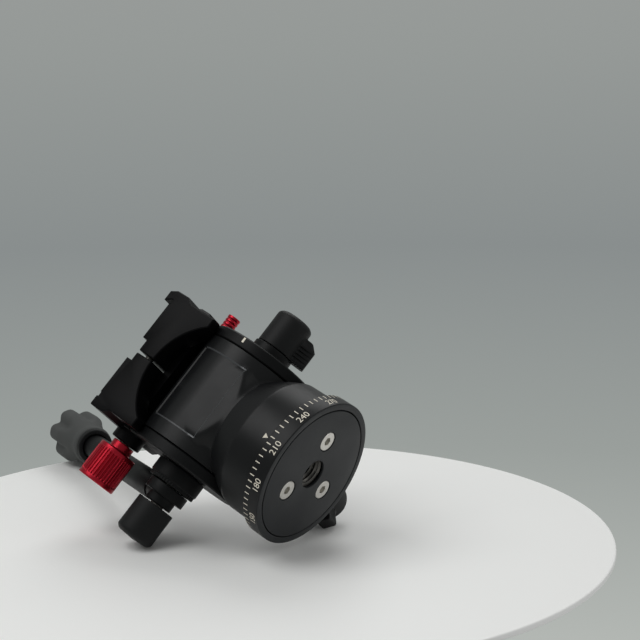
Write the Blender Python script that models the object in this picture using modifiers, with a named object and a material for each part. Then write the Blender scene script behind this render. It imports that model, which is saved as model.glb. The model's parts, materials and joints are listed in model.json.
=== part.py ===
"""Small fluid video head: pan base, tilt drum, quick release clamp, lock knobs and pan handle.

Frame: +Z is the pan axis, X the tilt axis, -Y the front with the bare badge panel.
The origin is the middle of the base's underside.
"""

import math

import bmesh
import bpy
from mathutils import Matrix, Vector

MM = 0.001

# Fits shared by the whole head
GAP = 0.3 * MM
OVERRUN = 1.0 * MM
WELD = 0.00002
SIDES = 48
FINE_SIDES = 24
SMALL_SIDES = 16
SMOOTH_ANGLE = math.radians(32)

# A value ending in STEP is how far a size lies from the one that it follows.

# Width of the tilt drum, which the body, base and clamp follow
DRUM_HALF = 19.1 * MM
BODY_RADIUS_STEP = 5.05 * MM
BODY_RADIUS = DRUM_HALF + BODY_RADIUS_STEP

# Pan base
BASE_RADIUS_STEP = 1.85 * MM
BASE_RADIUS = BODY_RADIUS + BASE_RADIUS_STEP
RING_WALL = 2.65 * MM
FACE_RADIUS = BASE_RADIUS - RING_WALL
BASE_HEIGHT = 6.4 * MM
BASE_CHAMFER = 0.5 * MM
FACE_THICK = 3.0 * MM
FACE_CHAMFER = 0.25 * MM
RING_SHELF_RADIUS_STEP = 5.35 * MM
RING_SHELF_RADIUS = FACE_RADIUS - RING_SHELF_RADIUS_STEP
RING_SHELF_TOP_STEP = 1.5 * MM
RING_SHELF_TOP = BASE_HEIGHT - RING_SHELF_TOP_STEP
RING_LIP_RADIUS_STEP = 3.55 * MM
RING_LIP_RADIUS = FACE_RADIUS - RING_LIP_RADIUS_STEP
STUD_HOLE_RADIUS = 5.07 * MM
STUD_HOLE_DEPTH = 1.0 * MM
THREAD_MAJOR_RADIUS = 4.76 * MM
THREAD_MINOR_RADIUS = 4.05 * MM
THREAD_PITCH = 1.5875 * MM
THREAD_TURNS = 5
BUSH_RADIUS = 7.2 * MM
SCREW_HEAD_RADIUS = 3.35 * MM
SCREW_RADIUS = 1.7 * MM
SCREW_CIRCLE_STEP = 0.75 * MM
SCREW_CIRCLE = (BUSH_RADIUS + GAP + RING_SHELF_RADIUS) / 2 - SCREW_CIRCLE_STEP
SCREW_LENGTH = 5.2 * MM
SCREW_SINK = 0.2 * MM
SCREW_HEAD_HEIGHT = 1.8 * MM
HEX_RADIUS = 1.45 * MM
HEX_DEPTH = 1.3 * MM
SCREW_ANGLES = (math.radians(-24), math.radians(96), math.radians(216))

# Pan body and tilt drum
BODY_TOP_STEP = 11.6 * MM
BODY_TOP = BASE_HEIGHT + BODY_TOP_STEP
SHOULDER_RADIUS_STEP = 3.75 * MM
SHOULDER_RADIUS = BODY_RADIUS - SHOULDER_RADIUS_STEP
SHOULDER_TOP_STEP = 9.5 * MM
SHOULDER_TOP = BODY_TOP + SHOULDER_TOP_STEP
BODY_CHAMFER = 0.5 * MM
TILT_HEIGHT_STEP = 13.6 * MM
TILT_HEIGHT = SHOULDER_TOP + TILT_HEIGHT_STEP
DRUM_RADIUS = 20.0 * MM
NECK_HALF_STEP = 0.05 * MM
NECK_HALF = DRUM_RADIUS - NECK_HALF_STEP
NECK_SIDE_STEP = 0.2 * MM
NECK_SIDE = DRUM_HALF - NECK_SIDE_STEP
NECK_ROUND_STEP = 0.25 * MM
NECK_ROUND = BODY_RADIUS - NECK_ROUND_STEP
ARM_CLEAR_RADIUS_STEP = 0.5 * MM
ARM_CLEAR_RADIUS = DRUM_RADIUS + ARM_CLEAR_RADIUS_STEP
TILT_BORE_RADIUS = 10.0 * MM
PANEL_LEFT = -13.6 * MM
PANEL_RIGHT = 13.9 * MM
PANEL_START = math.radians(50)
PANEL_BOTTOM_STEP = 7.7 * MM
PANEL_BOTTOM = TILT_HEIGHT - PANEL_BOTTOM_STEP
PANEL_DEPTH = 0.4 * MM

# Pan spindle and what runs on it
HUB_RADIUS = 10.0 * MM
HUB_TOP_STEP = 14.1 * MM
HUB_TOP = BASE_HEIGHT + HUB_TOP_STEP
SPINDLE_STUD_RADIUS = 5.0 * MM
PAN_NUT_RADIUS = 8.0 * MM
PAN_NUT_HEIGHT = 4.0 * MM
DRAG_WALL = 2.95 * MM
DRAG_RADIUS = BODY_RADIUS - DRAG_WALL
BEARING_RADIUS_STEP = 5.5 * MM
BEARING_RADIUS = DRAG_RADIUS - BEARING_RADIUS_STEP
DRAG_CAVITY_TOP_STEP = 3.0 * MM
DRAG_CAVITY_TOP = BASE_HEIGHT + DRAG_CAVITY_TOP_STEP
PAN_BUSH_WALL = 2.4 * MM
PAN_BUSH_BOTTOM_STEP = 5.3 * MM
PAN_BUSH_BOTTOM = HUB_TOP - PAN_BUSH_BOTTOM_STEP

# Pan lock
PAN_LOCK_HEIGHT_STEP = 6.2 * MM
PAN_LOCK_HEIGHT = BASE_HEIGHT + PAN_LOCK_HEIGHT_STEP
PAN_BOSS_RADIUS = 5.5 * MM
PAN_KNOB_START_STEP = 6.0 * MM
PAN_KNOB_START = BASE_RADIUS + PAN_KNOB_START_STEP
PAN_BOSS_END_STEP = 0.4 * MM
PAN_BOSS_END = PAN_KNOB_START - PAN_BOSS_END_STEP
PAN_STUD_RADIUS = 2.2 * MM
PAN_PAD_LENGTH = 4.4 * MM
PAN_WING_LEAN = math.radians(42)

# T knobs
KNOB_HUB_RADIUS = 6.9 * MM
KNOB_LENGTH = 13.6 * MM
KNOB_CROWN = 1.6 * MM
KNOB_EDGE = 0.6 * MM
KNOB_NOSE_RADIUS = 5.6 * MM
WING_RADIUS = 12.0 * MM
WING_HALF = 2.9 * MM
WING_SHORT = 4.0 * MM
WING_CHAMFER = 2.6 * MM
WING_RIBS = 5
WING_RIB_DEPTH = 0.35 * MM
KNOB_SOCKET_DEPTH = 9.0 * MM

# Tilt shaft and arms
SHAFT_RADIUS = 6.0 * MM
ARM_INNER = DRUM_HALF + GAP
ARM_OUTER_STEP = 4.1 * MM
ARM_OUTER = ARM_INNER + ARM_OUTER_STEP
ARM_RADIUS_STEP = 0.5 * MM
ARM_RADIUS = ARM_CLEAR_RADIUS - ARM_RADIUS_STEP
ARM_NECK_HALF = 11.0 * MM
ARM_TOP_STEP = 0.1 * MM
ARM_TOP = TILT_HEIGHT + ARM_RADIUS + ARM_TOP_STEP
ARM_CHAMFER = 0.5 * MM
TILT_BUSH_OUTER = DRUM_HALF - GAP
TILT_BUSH_INNER_STEP = 5.8 * MM
TILT_BUSH_INNER = TILT_BUSH_OUTER - TILT_BUSH_INNER_STEP
ROTOR_RADIUS = 7.9 * MM
LOCK_STUD_RADIUS = 2.5 * MM
LOCK_STUD_DEPTH = 9.0 * MM
TILT_WASHER_RADIUS = 7.4 * MM
TILT_KNOB_START_STEP = 4.5 * MM
TILT_KNOB_START = ARM_OUTER + TILT_KNOB_START_STEP
TILT_WING_LEAN = math.radians(149)

# Bridge under the clamp
BRIDGE_BOTTOM_STEP = 0.4 * MM
BRIDGE_BOTTOM = ARM_TOP + BRIDGE_BOTTOM_STEP
BRIDGE_TOP_STEP = 2.8 * MM
BRIDGE_TOP = BRIDGE_BOTTOM + BRIDGE_TOP_STEP
BRIDGE_SCREW_SPAN = 6.0 * MM
BRIDGE_SCREW_RADIUS = 1.2 * MM
BRIDGE_SCREW_HEAD = 2.0 * MM
BRIDGE_SCREW_LENGTH = 7.0 * MM
JAW_SCREW_X = 12.5 * MM

# Clamp
CLAMP_HALF_X_STEP = 0.9 * MM
CLAMP_HALF_X = ARM_OUTER + CLAMP_HALF_X_STEP
CLAMP_HALF_Y = 20.5 * MM
CLAMP_BOTTOM = BRIDGE_TOP + GAP
CLAMP_FLOOR_STEP = 9.3 * MM
CLAMP_FLOOR = CLAMP_BOTTOM + CLAMP_FLOOR_STEP
LIP_TOP_STEP = 2.7 * MM
LIP_TOP = CLAMP_FLOOR + LIP_TOP_STEP
LIP_ROOT_X_STEP = 3.7 * MM
LIP_ROOT_X = CLAMP_HALF_X - LIP_ROOT_X_STEP
LIP_TIP_X_STEP = 1.4 * MM
LIP_TIP_X = LIP_ROOT_X - LIP_TIP_X_STEP
LIP_TIP_THICK = 0.5 * MM
LIP_RELIEF_DEPTH = 0.4 * MM
LIP_SHOULDER_X_STEP = 1.4 * MM
LIP_SHOULDER_X = CLAMP_HALF_X - LIP_SHOULDER_X_STEP
SIDE_TAPER_X_STEP = 1.8 * MM
SIDE_TAPER_X = CLAMP_HALF_X - SIDE_TAPER_X_STEP
SIDE_TAPER_Z_STEP = 1.3 * MM
SIDE_TAPER_Z = CLAMP_BOTTOM + SIDE_TAPER_Z_STEP
SIDE_TAPER_TOP = SIDE_TAPER_Z + (CLAMP_FLOOR - SIDE_TAPER_Z) / 3
LEG_BOTTOM_STEP = 13.7 * MM
LEG_BOTTOM = TILT_HEIGHT + LEG_BOTTOM_STEP
ARCH_HALF_STEP = 0.8 * MM
ARCH_HALF = CLAMP_HALF_X - ARCH_HALF_STEP
ARCH_RISE = CLAMP_BOTTOM - TILT_HEIGHT
CHANNEL_HALF = 11.4 * MM
FLOOR_RECESS_HALF = 4.35 * MM
FLOOR_RECESS_DEPTH = 2.4 * MM
JAW_SLIT_LEFT = -1.0 * MM
LEFT_LIP_START = -11.0 * MM
CLAMP_SCREW_HEIGHT_STEP = 2.2 * MM
CLAMP_SCREW_HEIGHT = CLAMP_BOTTOM + CLAMP_SCREW_HEIGHT_STEP
CLAMP_SCREW_RADIUS = 2.0 * MM
CLAMP_SCREW_END = 15.0 * MM
GUIDE_PIN_RADIUS = 1.5 * MM
GUIDE_PIN_Y_STEP = 5.0 * MM
GUIDE_PIN_Y = CLAMP_HALF_Y - GUIDE_PIN_Y_STEP
GUIDE_PIN_HEIGHT_STEP = 4.8 * MM
GUIDE_PIN_HEIGHT = CLAMP_BOTTOM + GUIDE_PIN_HEIGHT_STEP
GUIDE_PIN_LENGTH = 26.0 * MM
GUIDE_PIN_START = -13.0 * MM
BULGE_OUT_STEP = 1.6 * MM
BULGE_OUT = CLAMP_HALF_X + BULGE_OUT_STEP
BULGE_FRONT = -6.0 * MM
BULGE_REAR = 4.0 * MM
BULGE_BOTTOM_STEP = 2.8 * MM
BULGE_BOTTOM = CLAMP_BOTTOM + BULGE_BOTTOM_STEP
BULGE_TOP_STEP = 0.8 * MM
BULGE_TOP = CLAMP_FLOOR - BULGE_TOP_STEP
BULGE_ROUND = 1.3 * MM

# Clamp knob and its boss
BOSS_RADIUS = 5.6 * MM
BOSS_END_STEP = 3.3 * MM
BOSS_END = CLAMP_HALF_X + BOSS_END_STEP
CLAMP_KNOB_NECK = 4.1 * MM
CLAMP_KNOB_START = BOSS_END + GAP
CLAMP_KNOB_BODY_STEP = 3.0 * MM
CLAMP_KNOB_BODY = CLAMP_KNOB_START + CLAMP_KNOB_BODY_STEP
CLAMP_KNOB_END_STEP = 13.4 * MM
CLAMP_KNOB_END = CLAMP_KNOB_BODY + CLAMP_KNOB_END_STEP
CLAMP_KNOB_RADIUS = 7.05 * MM
CLAMP_KNOB_COLLAR = 2.0 * MM
CLAMP_KNOB_GROOVE = 0.45 * MM
CLAMP_KNOB_RIBS = 20

# Safety pin
PIN_Y = 10.0 * MM
PIN_HEIGHT_STEP = 4.7 * MM
PIN_HEIGHT = CLAMP_BOTTOM + PIN_HEIGHT_STEP
PIN_SLEEVE_RADIUS = 2.7 * MM
PIN_SLEEVE_START_STEP = 2.6 * MM
PIN_SLEEVE_START = CLAMP_HALF_X - PIN_SLEEVE_START_STEP
PIN_SLEEVE_END_STEP = 1.8 * MM
PIN_SLEEVE_END = CLAMP_HALF_X + PIN_SLEEVE_END_STEP
PIN_HEAD_RADIUS = 2.5 * MM
PIN_HEAD_START_STEP = 0.4 * MM
PIN_HEAD_START = PIN_SLEEVE_END + PIN_HEAD_START_STEP
PIN_HEAD_END_STEP = 5.4 * MM
PIN_HEAD_END = PIN_HEAD_START + PIN_HEAD_END_STEP
PIN_STEM_RADIUS = 1.3 * MM
PIN_COLLAR_RADIUS = 2.4 * MM
PIN_COLLAR_START_STEP = 7.3 * MM
PIN_COLLAR_START = PIN_SLEEVE_START - PIN_COLLAR_START_STEP
PIN_COLLAR_END_STEP = 1.5 * MM
PIN_COLLAR_END = PIN_COLLAR_START + PIN_COLLAR_END_STEP
PIN_BORE_RADIUS = PIN_SLEEVE_RADIUS + GAP
PIN_RIBS = 3
PIN_RIB_DEPTH = 0.3 * MM

# Handle
ROSETTE_RADIUS = 9.1 * MM
ROSETTE_START = ARM_OUTER + GAP
ROSETTE_END_STEP = 6.6 * MM
ROSETTE_END = ROSETTE_START + ROSETTE_END_STEP
EYE_RADIUS = 7.4 * MM
EYE_START = ROSETTE_END + GAP
EYE_END_STEP = 3.9 * MM
EYE_END = EYE_START + EYE_END_STEP
EYE_BOSS_RADIUS = 5.0 * MM
EYE_BOSS_END_STEP = 3.2 * MM
EYE_BOSS_END = EYE_END + EYE_BOSS_END_STEP
HANDLE_KNOB_START_STEP = 0.5 * MM
HANDLE_KNOB_START = EYE_BOSS_END + HANDLE_KNOB_START_STEP
HANDLE_WING_LEAN = math.radians(59)
HANDLE_X_STEP = 1.4 * MM
HANDLE_X = -(EYE_END - HANDLE_X_STEP)
HANDLE_LEAN = math.radians(36.5)
EYE_NECK_RADIUS = 4.3 * MM
ROD_RADIUS = 4.7 * MM
EYE_NECK_END = 9.2 * MM
ROD_START_STEP = 0.4 * MM
ROD_START = EYE_NECK_END + ROD_START_STEP
ROD_PLUG_RADIUS = 2.6 * MM
ROD_PLUG_END_STEP = 8.4 * MM
ROD_PLUG_END = ROD_START + ROD_PLUG_END_STEP
COLLAR_RADIUS = 6.9 * MM
ROD_END = 122.0 * MM
COLLAR_START_STEP = 29.4 * MM
COLLAR_START = ROD_END - COLLAR_START_STEP
COLLAR_END_STEP = 2.8 * MM
COLLAR_END = COLLAR_START + COLLAR_END_STEP
GRIP_START_STEP = 0.4 * MM
GRIP_START = COLLAR_END + GRIP_START_STEP
GRIP_END_STEP = 9.0 * MM
GRIP_END = ROD_END + GRIP_END_STEP
GRIP_LIP_RADIUS = 7.6 * MM
GRIP_WAIST_RADIUS = 6.9 * MM
GRIP_RADIUS = 10.6 * MM
GRIP_LOBES = 6
GRIP_FLUTE_RADIUS = 4.4 * MM
GRIP_FLUTE_SINK = 1.7 * MM

# Colours as linear red, green, blue with roughness and metallic
BLACK_ANODISED = ((0.012, 0.012, 0.014), 0.42, 0.6)
DARK_FACE = ((0.028, 0.029, 0.031), 0.5, 0.6)
RED_ANODISED = ((0.35, 0.012, 0.024), 0.3, 0.8)
BLACK_PLASTIC = ((0.014, 0.014, 0.015), 0.6, 0.0)
GRIP_RUBBER = ((0.05, 0.05, 0.05), 0.8, 0.0)
STEEL = ((0.45, 0.43, 0.41), 0.3, 1.0)
BRASS = ((0.6, 0.42, 0.16), 0.35, 1.0)
BRONZE = ((0.35, 0.2, 0.08), 0.4, 1.0)
DRAG_PLASTIC = ((0.3, 0.3, 0.28), 0.5, 0.0)

X = Vector((1, 0, 0))
Y = Vector((0, 1, 0))
Z = Vector((0, 0, 1))
ORIGIN = Vector((0, 0, 0))
TILT_CENTRE = Z * TILT_HEIGHT
FULL_TURN = 2 * math.pi

for old in list(bpy.data.objects):
    bpy.data.objects.remove(old)

head_collection = bpy.data.collections.new("fluid_video_head")
cutter_collection = bpy.data.collections.new("cutters")
for collection in (head_collection, cutter_collection):
    bpy.context.scene.collection.children.link(collection)


def material(name, finish):
    """A Principled material from a colour, roughness and metallic value."""
    made = bpy.data.materials.new(name)
    made.use_nodes = True
    colour, roughness, metallic = finish
    shader = made.node_tree.nodes["Principled BSDF"]
    shader.inputs["Base Color"].default_value = (*colour, 1)
    shader.inputs["Roughness"].default_value = roughness
    shader.inputs["Metallic"].default_value = metallic
    made.diffuse_color = (*colour, 1)
    return made


def joint_empty(name, place, parent=None):
    """An empty on a joint's axis, which the moving pieces are parented to."""
    empty = bpy.data.objects.new(name, None)
    head_collection.objects.link(empty)
    empty.parent = parent
    empty.location = place - (parent.matrix_world.translation if parent else ORIGIN)
    bpy.context.view_layer.update()
    return empty


def new_object(name, mesh, cutter=False):
    """An object of its own for a mesh, as a piece or as a hidden cutter."""
    made = bpy.data.objects.new(name, mesh)
    (cutter_collection if cutter else head_collection).objects.link(made)
    if cutter:
        made.hide_render = True
        made.display_type = "WIRE"
    return made


def facing(direction):
    """The rotation that turns local Z to a direction."""
    return direction.to_track_quat("Z", "Y").to_matrix().to_4x4()


def box(name, low, high, cutter=False):
    """A box between two corners, from a unit cube."""
    shape = bmesh.new()
    bmesh.ops.create_cube(shape, size=1)
    low, high = Vector(low), Vector(high)
    bmesh.ops.scale(shape, vec=high - low, verts=shape.verts)
    bmesh.ops.translate(shape, vec=(low + high) / 2, verts=shape.verts)
    mesh = bpy.data.meshes.new(name)
    shape.to_mesh(mesh)
    shape.free()
    return new_object(name, mesh, cutter)


def rod(name, start, end, radius, sides=FINE_SIDES, cutter=False, end_radius=None):
    """A cylinder or cone between two points."""
    start, end = Vector(start), Vector(end)
    shape = bmesh.new()
    bmesh.ops.create_cone(
        shape,
        cap_ends=True,
        segments=sides,
        radius1=radius,
        radius2=radius if end_radius is None else end_radius,
        depth=(end - start).length,
    )
    bmesh.ops.transform(shape, matrix=facing(end - start), verts=shape.verts)
    bmesh.ops.translate(shape, vec=(start + end) / 2, verts=shape.verts)
    mesh = bpy.data.meshes.new(name)
    shape.to_mesh(mesh)
    shape.free()
    return new_object(name, mesh, cutter)


def turned(name, profile, place=ORIGIN, direction=Z, sides=SIDES, cutter=False, closed=False):
    """A body turned round a direction through a place, from (radius, height) points.

    An open profile starts and ends on the axis and runs down its outer side; a closed one
    is a ring's section, which runs down its outer side and up its bore.
    """
    mesh = bpy.data.meshes.new(name)
    points = [(radius, 0, height) for radius, height in profile]
    edges = [(i, i + 1) for i in range(len(points) - 1)]
    if closed:
        edges.append((len(points) - 1, 0))
    mesh.from_pydata(points, edges, [])
    made = new_object(name, mesh, cutter)
    screw = made.modifiers.new("turn", "SCREW")
    screw.steps = screw.render_steps = sides
    screw.use_merge_vertices = True
    screw.merge_threshold = WELD
    made.location = place
    made.rotation_euler = facing(direction).to_euler()
    return made


def slab(name, outline, depth_axis, low, high, cutter=False):
    """A flat outline, extruded between two places along X or Y."""
    curve = bpy.data.curves.new(name, "CURVE")
    curve.dimensions = "2D"
    curve.fill_mode = "BOTH"
    curve.extrude = (high - low) / 2
    line = curve.splines.new("POLY")
    line.points.add(len(outline) - 1)
    for point, (across, up) in zip(line.points, outline):
        point.co = (across, up, 0, 1)
    line.use_cyclic_u = True
    flat = bpy.data.objects.new(name + "_outline", curve)
    cutter_collection.objects.link(flat)
    graph = bpy.context.evaluated_depsgraph_get()
    mesh = bpy.data.meshes.new_from_object(flat.evaluated_get(graph))
    bpy.data.objects.remove(flat)
    shape = bmesh.new()
    shape.from_mesh(mesh)
    bmesh.ops.remove_doubles(shape, verts=shape.verts, dist=WELD)
    middle = (low + high) / 2
    for vert in shape.verts:
        across, up, along = vert.co
        if depth_axis == "Y":
            vert.co = (across, middle + along, up)
        else:
            vert.co = (middle + along, across, up)
    bmesh.ops.recalc_face_normals(shape, faces=shape.faces)
    shape.to_mesh(mesh)
    shape.free()
    return new_object(name, mesh, cutter)


def boolean(target, other, operation="DIFFERENCE"):
    """Cuts, joins or keeps what is common, with the exact solver."""
    step = target.modifiers.new(operation.lower(), "BOOLEAN")
    step.operation = operation
    step.solver = "EXACT"
    step.object = other
    return target


def cut(target, *cutters):
    for one in cutters:
        boolean(target, one)
    return target


def join(target, *others):
    for one in others:
        boolean(target, one, "UNION")
    return target


def bevel(target, width, segments=1, angle=math.radians(40)):
    """Rounded or chamfered edges."""
    step = target.modifiers.new("edges", "BEVEL")
    step.width = width
    step.segments = segments
    step.limit_method = "ANGLE"
    step.angle_limit = angle
    return target


def dress(piece, finish, parent=None):
    """Gives a piece its material and its parent, with its place in the world kept."""
    piece.data.materials.clear()
    piece.data.materials.append(finish)
    if parent:
        bpy.context.view_layer.update()
        world = piece.matrix_world.copy()
        piece.parent = parent
        piece.matrix_parent_inverse = parent.matrix_world.inverted()
        piece.matrix_world = world
    return piece


def bake(piece):
    """Replaces a piece's mesh by its evaluated one, with every modifier applied."""
    materials = list(piece.data.materials)
    graph = bpy.context.evaluated_depsgraph_get()
    mesh = bpy.data.meshes.new_from_object(piece.evaluated_get(graph))
    piece.modifiers.clear()
    piece.data = mesh
    mesh.materials.clear()
    for one in materials:
        mesh.materials.append(one)


def ring(name, inner, outer, low, high, place=ORIGIN, direction=Z, sides=SIDES):
    """A plain ring or sleeve."""
    section = [(outer, high), (outer, low), (inner, low), (inner, high)]
    return turned(name, section, place, direction, sides, closed=True)


black = material("black_anodised_aluminium", BLACK_ANODISED)
face_black = material("dark_satin_face", DARK_FACE)
red = material("red_anodised_aluminium", RED_ANODISED)
plastic = material("black_moulded_plastic", BLACK_PLASTIC)
rubber = material("grip_rubber", GRIP_RUBBER)
steel = material("bright_steel", STEEL)
brass = material("brass", BRASS)
bronze = material("bearing_bronze", BRONZE)
drag = material("drag_plastic", DRAG_PLASTIC)

pan_axis = joint_empty("pan_axis", ORIGIN)
tilt_axis = joint_empty("tilt_axis", TILT_CENTRE, pan_axis)


# Fixed base: face disc, scale ring, thread bush, screws, spindle and nut

def countersunk_screw(name, place, direction, radius, head_radius, head_height, length, socket=True):
    """A countersunk screw whose head's flat face lies at a place and points along a direction."""
    profile = [
        (0, 0),
        (head_radius, 0),
        (radius, -head_height),
        (radius, -length),
        (0, -length),
    ]
    screw = turned(name, profile, place, direction, SMALL_SIDES)
    if socket:
        deep = rod(
            name + "_hex",
            place + direction * OVERRUN,
            place - direction * HEX_DEPTH * head_radius / SCREW_HEAD_RADIUS,
            HEX_RADIUS * head_radius / SCREW_HEAD_RADIUS,
            sides=6,
            cutter=True,
        )
        cut(screw, deep)
    return screw


def screw_seat(name, place, direction, radius, head_radius, head_height, depth, sink=0.0):
    """The countersink and clearance hole that a countersunk screw sits in."""
    profile = [
        (0, OVERRUN),
        (head_radius + GAP, OVERRUN),
        (head_radius + GAP, -sink),
        (radius + GAP, -sink - head_height),
        (radius + GAP, -depth),
        (0, -depth),
    ]
    return turned(name, profile, place, direction, SMALL_SIDES, cutter=True)


def base_screw_places():
    return [
        Vector((SCREW_CIRCLE * math.cos(angle), SCREW_CIRCLE * math.sin(angle), 0))
        for angle in SCREW_ANGLES
    ]


def base_screw_seats(name):
    return [
        screw_seat(
            f"{name}_seat_{number}", place, -Z, SCREW_RADIUS, SCREW_HEAD_RADIUS,
            SCREW_HEAD_HEIGHT, SCREW_LENGTH + SCREW_SINK + GAP, SCREW_SINK,
        )
        for number, place in enumerate(base_screw_places(), 1)
    ]


spindle_foot = FACE_THICK + GAP
bush_start = STUD_HOLE_DEPTH + GAP
bush_end = bush_start + THREAD_PITCH * (THREAD_TURNS + 1)
flange_top = BASE_HEIGHT

face_profile = [
    (FACE_RADIUS, FACE_THICK),
    (FACE_RADIUS, FACE_CHAMFER),
    (FACE_RADIUS - FACE_CHAMFER, 0),
    (STUD_HOLE_RADIUS + FACE_CHAMFER, 0),
    (STUD_HOLE_RADIUS, FACE_CHAMFER),
    (STUD_HOLE_RADIUS, STUD_HOLE_DEPTH),
    (BUSH_RADIUS + GAP, STUD_HOLE_DEPTH),
    (BUSH_RADIUS + GAP, FACE_THICK),
]
face_disc = turned("base_disc", face_profile, closed=True)
cut(face_disc, *base_screw_seats("base_disc"))
dress(face_disc, face_black)

ring_profile = [
    (BASE_RADIUS - BASE_CHAMFER, BASE_HEIGHT),
    (BASE_RADIUS, BASE_HEIGHT - BASE_CHAMFER),
    (BASE_RADIUS, BASE_CHAMFER),
    (BASE_RADIUS - BASE_CHAMFER, 0),
    (FACE_RADIUS + GAP, 0),
    (FACE_RADIUS + GAP, spindle_foot),
    (RING_SHELF_RADIUS, spindle_foot),
    (RING_SHELF_RADIUS, RING_SHELF_TOP),
    (RING_LIP_RADIUS, RING_SHELF_TOP),
    (RING_LIP_RADIUS, BASE_HEIGHT),
]
scale_ring = turned("scale_ring", ring_profile, closed=True)
dress(scale_ring, black)

thread_profile = [(BUSH_RADIUS, bush_end), (BUSH_RADIUS, bush_start)]
for turn in range(THREAD_TURNS):
    low = bush_start + THREAD_PITCH * turn
    thread_profile.append((THREAD_MAJOR_RADIUS, low))
    thread_profile.append((THREAD_MINOR_RADIUS, low + THREAD_PITCH / 2))
thread_profile.append((THREAD_MAJOR_RADIUS, bush_start + THREAD_PITCH * THREAD_TURNS))
thread_profile.append((THREAD_MINOR_RADIUS, bush_end))
thread_bush = turned("thread_bush", thread_profile, sides=FINE_SIDES, closed=True)
dress(thread_bush, steel)

for number, place in enumerate(base_screw_places(), 1):
    screw = countersunk_screw(
        f"base_screw_{number}", place + Z * SCREW_SINK, -Z, SCREW_RADIUS,
        SCREW_HEAD_RADIUS, SCREW_HEAD_HEIGHT, SCREW_LENGTH,
    )
    dress(screw, steel)

nut_bottom = HUB_TOP + GAP
nut_top = nut_bottom + PAN_NUT_HEIGHT
spindle_profile = [
    (0, nut_top + GAP),
    (SPINDLE_STUD_RADIUS, nut_top + GAP),
    (SPINDLE_STUD_RADIUS, HUB_TOP),
    (HUB_RADIUS, HUB_TOP),
    (HUB_RADIUS, flange_top),
    (RING_LIP_RADIUS - GAP, flange_top),
    (RING_LIP_RADIUS - GAP, RING_SHELF_TOP + GAP),
    (RING_SHELF_RADIUS - GAP, RING_SHELF_TOP + GAP),
    (RING_SHELF_RADIUS - GAP, spindle_foot),
    (BUSH_RADIUS + GAP, spindle_foot),
    (BUSH_RADIUS + GAP, bush_end + GAP),
    (0, bush_end + GAP),
]
spindle = turned("pan_spindle", spindle_profile)
cut(spindle, *base_screw_seats("pan_spindle"))
dress(spindle, steel)

pan_nut = rod("pan_nut", Z * nut_bottom, Z * nut_top, PAN_NUT_RADIUS, sides=6)
cut(
    pan_nut,
    rod(
        "pan_nut_bore", Z * (nut_bottom - OVERRUN), Z * (nut_top + OVERRUN),
        SPINDLE_STUD_RADIUS + GAP, cutter=True,
    ),
)
dress(pan_nut, steel)


# Pan body: casting with its drum, bearing, bush, drag ring and lock pad

body_bottom = BASE_HEIGHT + GAP
body_profile = [
    (0, SHOULDER_TOP),
    (SHOULDER_RADIUS, SHOULDER_TOP),
    (BODY_RADIUS - BODY_CHAMFER, BODY_TOP + BODY_CHAMFER),
    (BODY_RADIUS, BODY_TOP),
    (BODY_RADIUS, body_bottom + BODY_CHAMFER),
    (BODY_RADIUS - BODY_CHAMFER, body_bottom),
    (0, body_bottom),
]
casting = turned("head_casting", body_profile)
drum = rod(
    "drum", TILT_CENTRE - X * (DRUM_HALF + OVERRUN), TILT_CENTRE + X * (DRUM_HALF + OVERRUN),
    DRUM_RADIUS, sides=SIDES, cutter=True,
)
neck = box(
    "neck", (-NECK_SIDE, -NECK_HALF, BODY_TOP - OVERRUN), (NECK_SIDE, NECK_HALF, TILT_HEIGHT),
    cutter=True,
)
pan_boss = rod(
    "pan_boss", Vector((0, DRUM_HALF, PAN_LOCK_HEIGHT)), Vector((0, PAN_BOSS_END, PAN_LOCK_HEIGHT)),
    PAN_BOSS_RADIUS, cutter=True,
)
shoulder_round = turned(
    "neck_limit",
    [
        (0, TILT_HEIGHT + OVERRUN),
        (NECK_ROUND, TILT_HEIGHT + OVERRUN),
        (NECK_ROUND, BODY_TOP - OVERRUN * 2),
        (0, BODY_TOP - OVERRUN * 2),
    ],
    cutter=True,
)
boolean(neck, shoulder_round, "INTERSECT")
join(casting, drum, neck, pan_boss)

for side, name in ((-1, "left"), (1, "right")):
    clear = rod(
        f"arm_clear_{name}",
        TILT_CENTRE + X * side * DRUM_HALF,
        TILT_CENTRE + X * side * (BODY_RADIUS + OVERRUN),
        ARM_CLEAR_RADIUS, sides=SIDES, cutter=True,
    )
    cut(casting, clear)

tilt_bore = rod(
    "tilt_bore", TILT_CENTRE - X * (DRUM_HALF + OVERRUN), TILT_CENTRE + X * (DRUM_HALF + OVERRUN),
    TILT_BORE_RADIUS, cutter=True,
)
pan_bush_outer = HUB_RADIUS + GAP + PAN_BUSH_WALL
casting_bore = turned(
    "casting_bore",
    [
        (0, TILT_HEIGHT - TILT_BORE_RADIUS + OVERRUN),
        (PAN_NUT_RADIUS + GAP, TILT_HEIGHT - TILT_BORE_RADIUS + OVERRUN),
        (PAN_NUT_RADIUS + GAP, HUB_TOP),
        (pan_bush_outer + GAP, HUB_TOP),
        (pan_bush_outer + GAP, DRAG_CAVITY_TOP),
        (DRAG_RADIUS + GAP, DRAG_CAVITY_TOP),
        (DRAG_RADIUS + GAP, body_bottom - OVERRUN),
        (0, body_bottom - OVERRUN),
    ],
    cutter=True,
)
stud_bore = rod(
    "stud_bore", Vector((0, HUB_RADIUS, PAN_LOCK_HEIGHT)),
    Vector((0, PAN_BOSS_END + OVERRUN, PAN_LOCK_HEIGHT)), PAN_STUD_RADIUS + GAP,
    sides=SMALL_SIDES, cutter=True,
)
cut(casting, tilt_bore, casting_bore, stud_bore)


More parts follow.
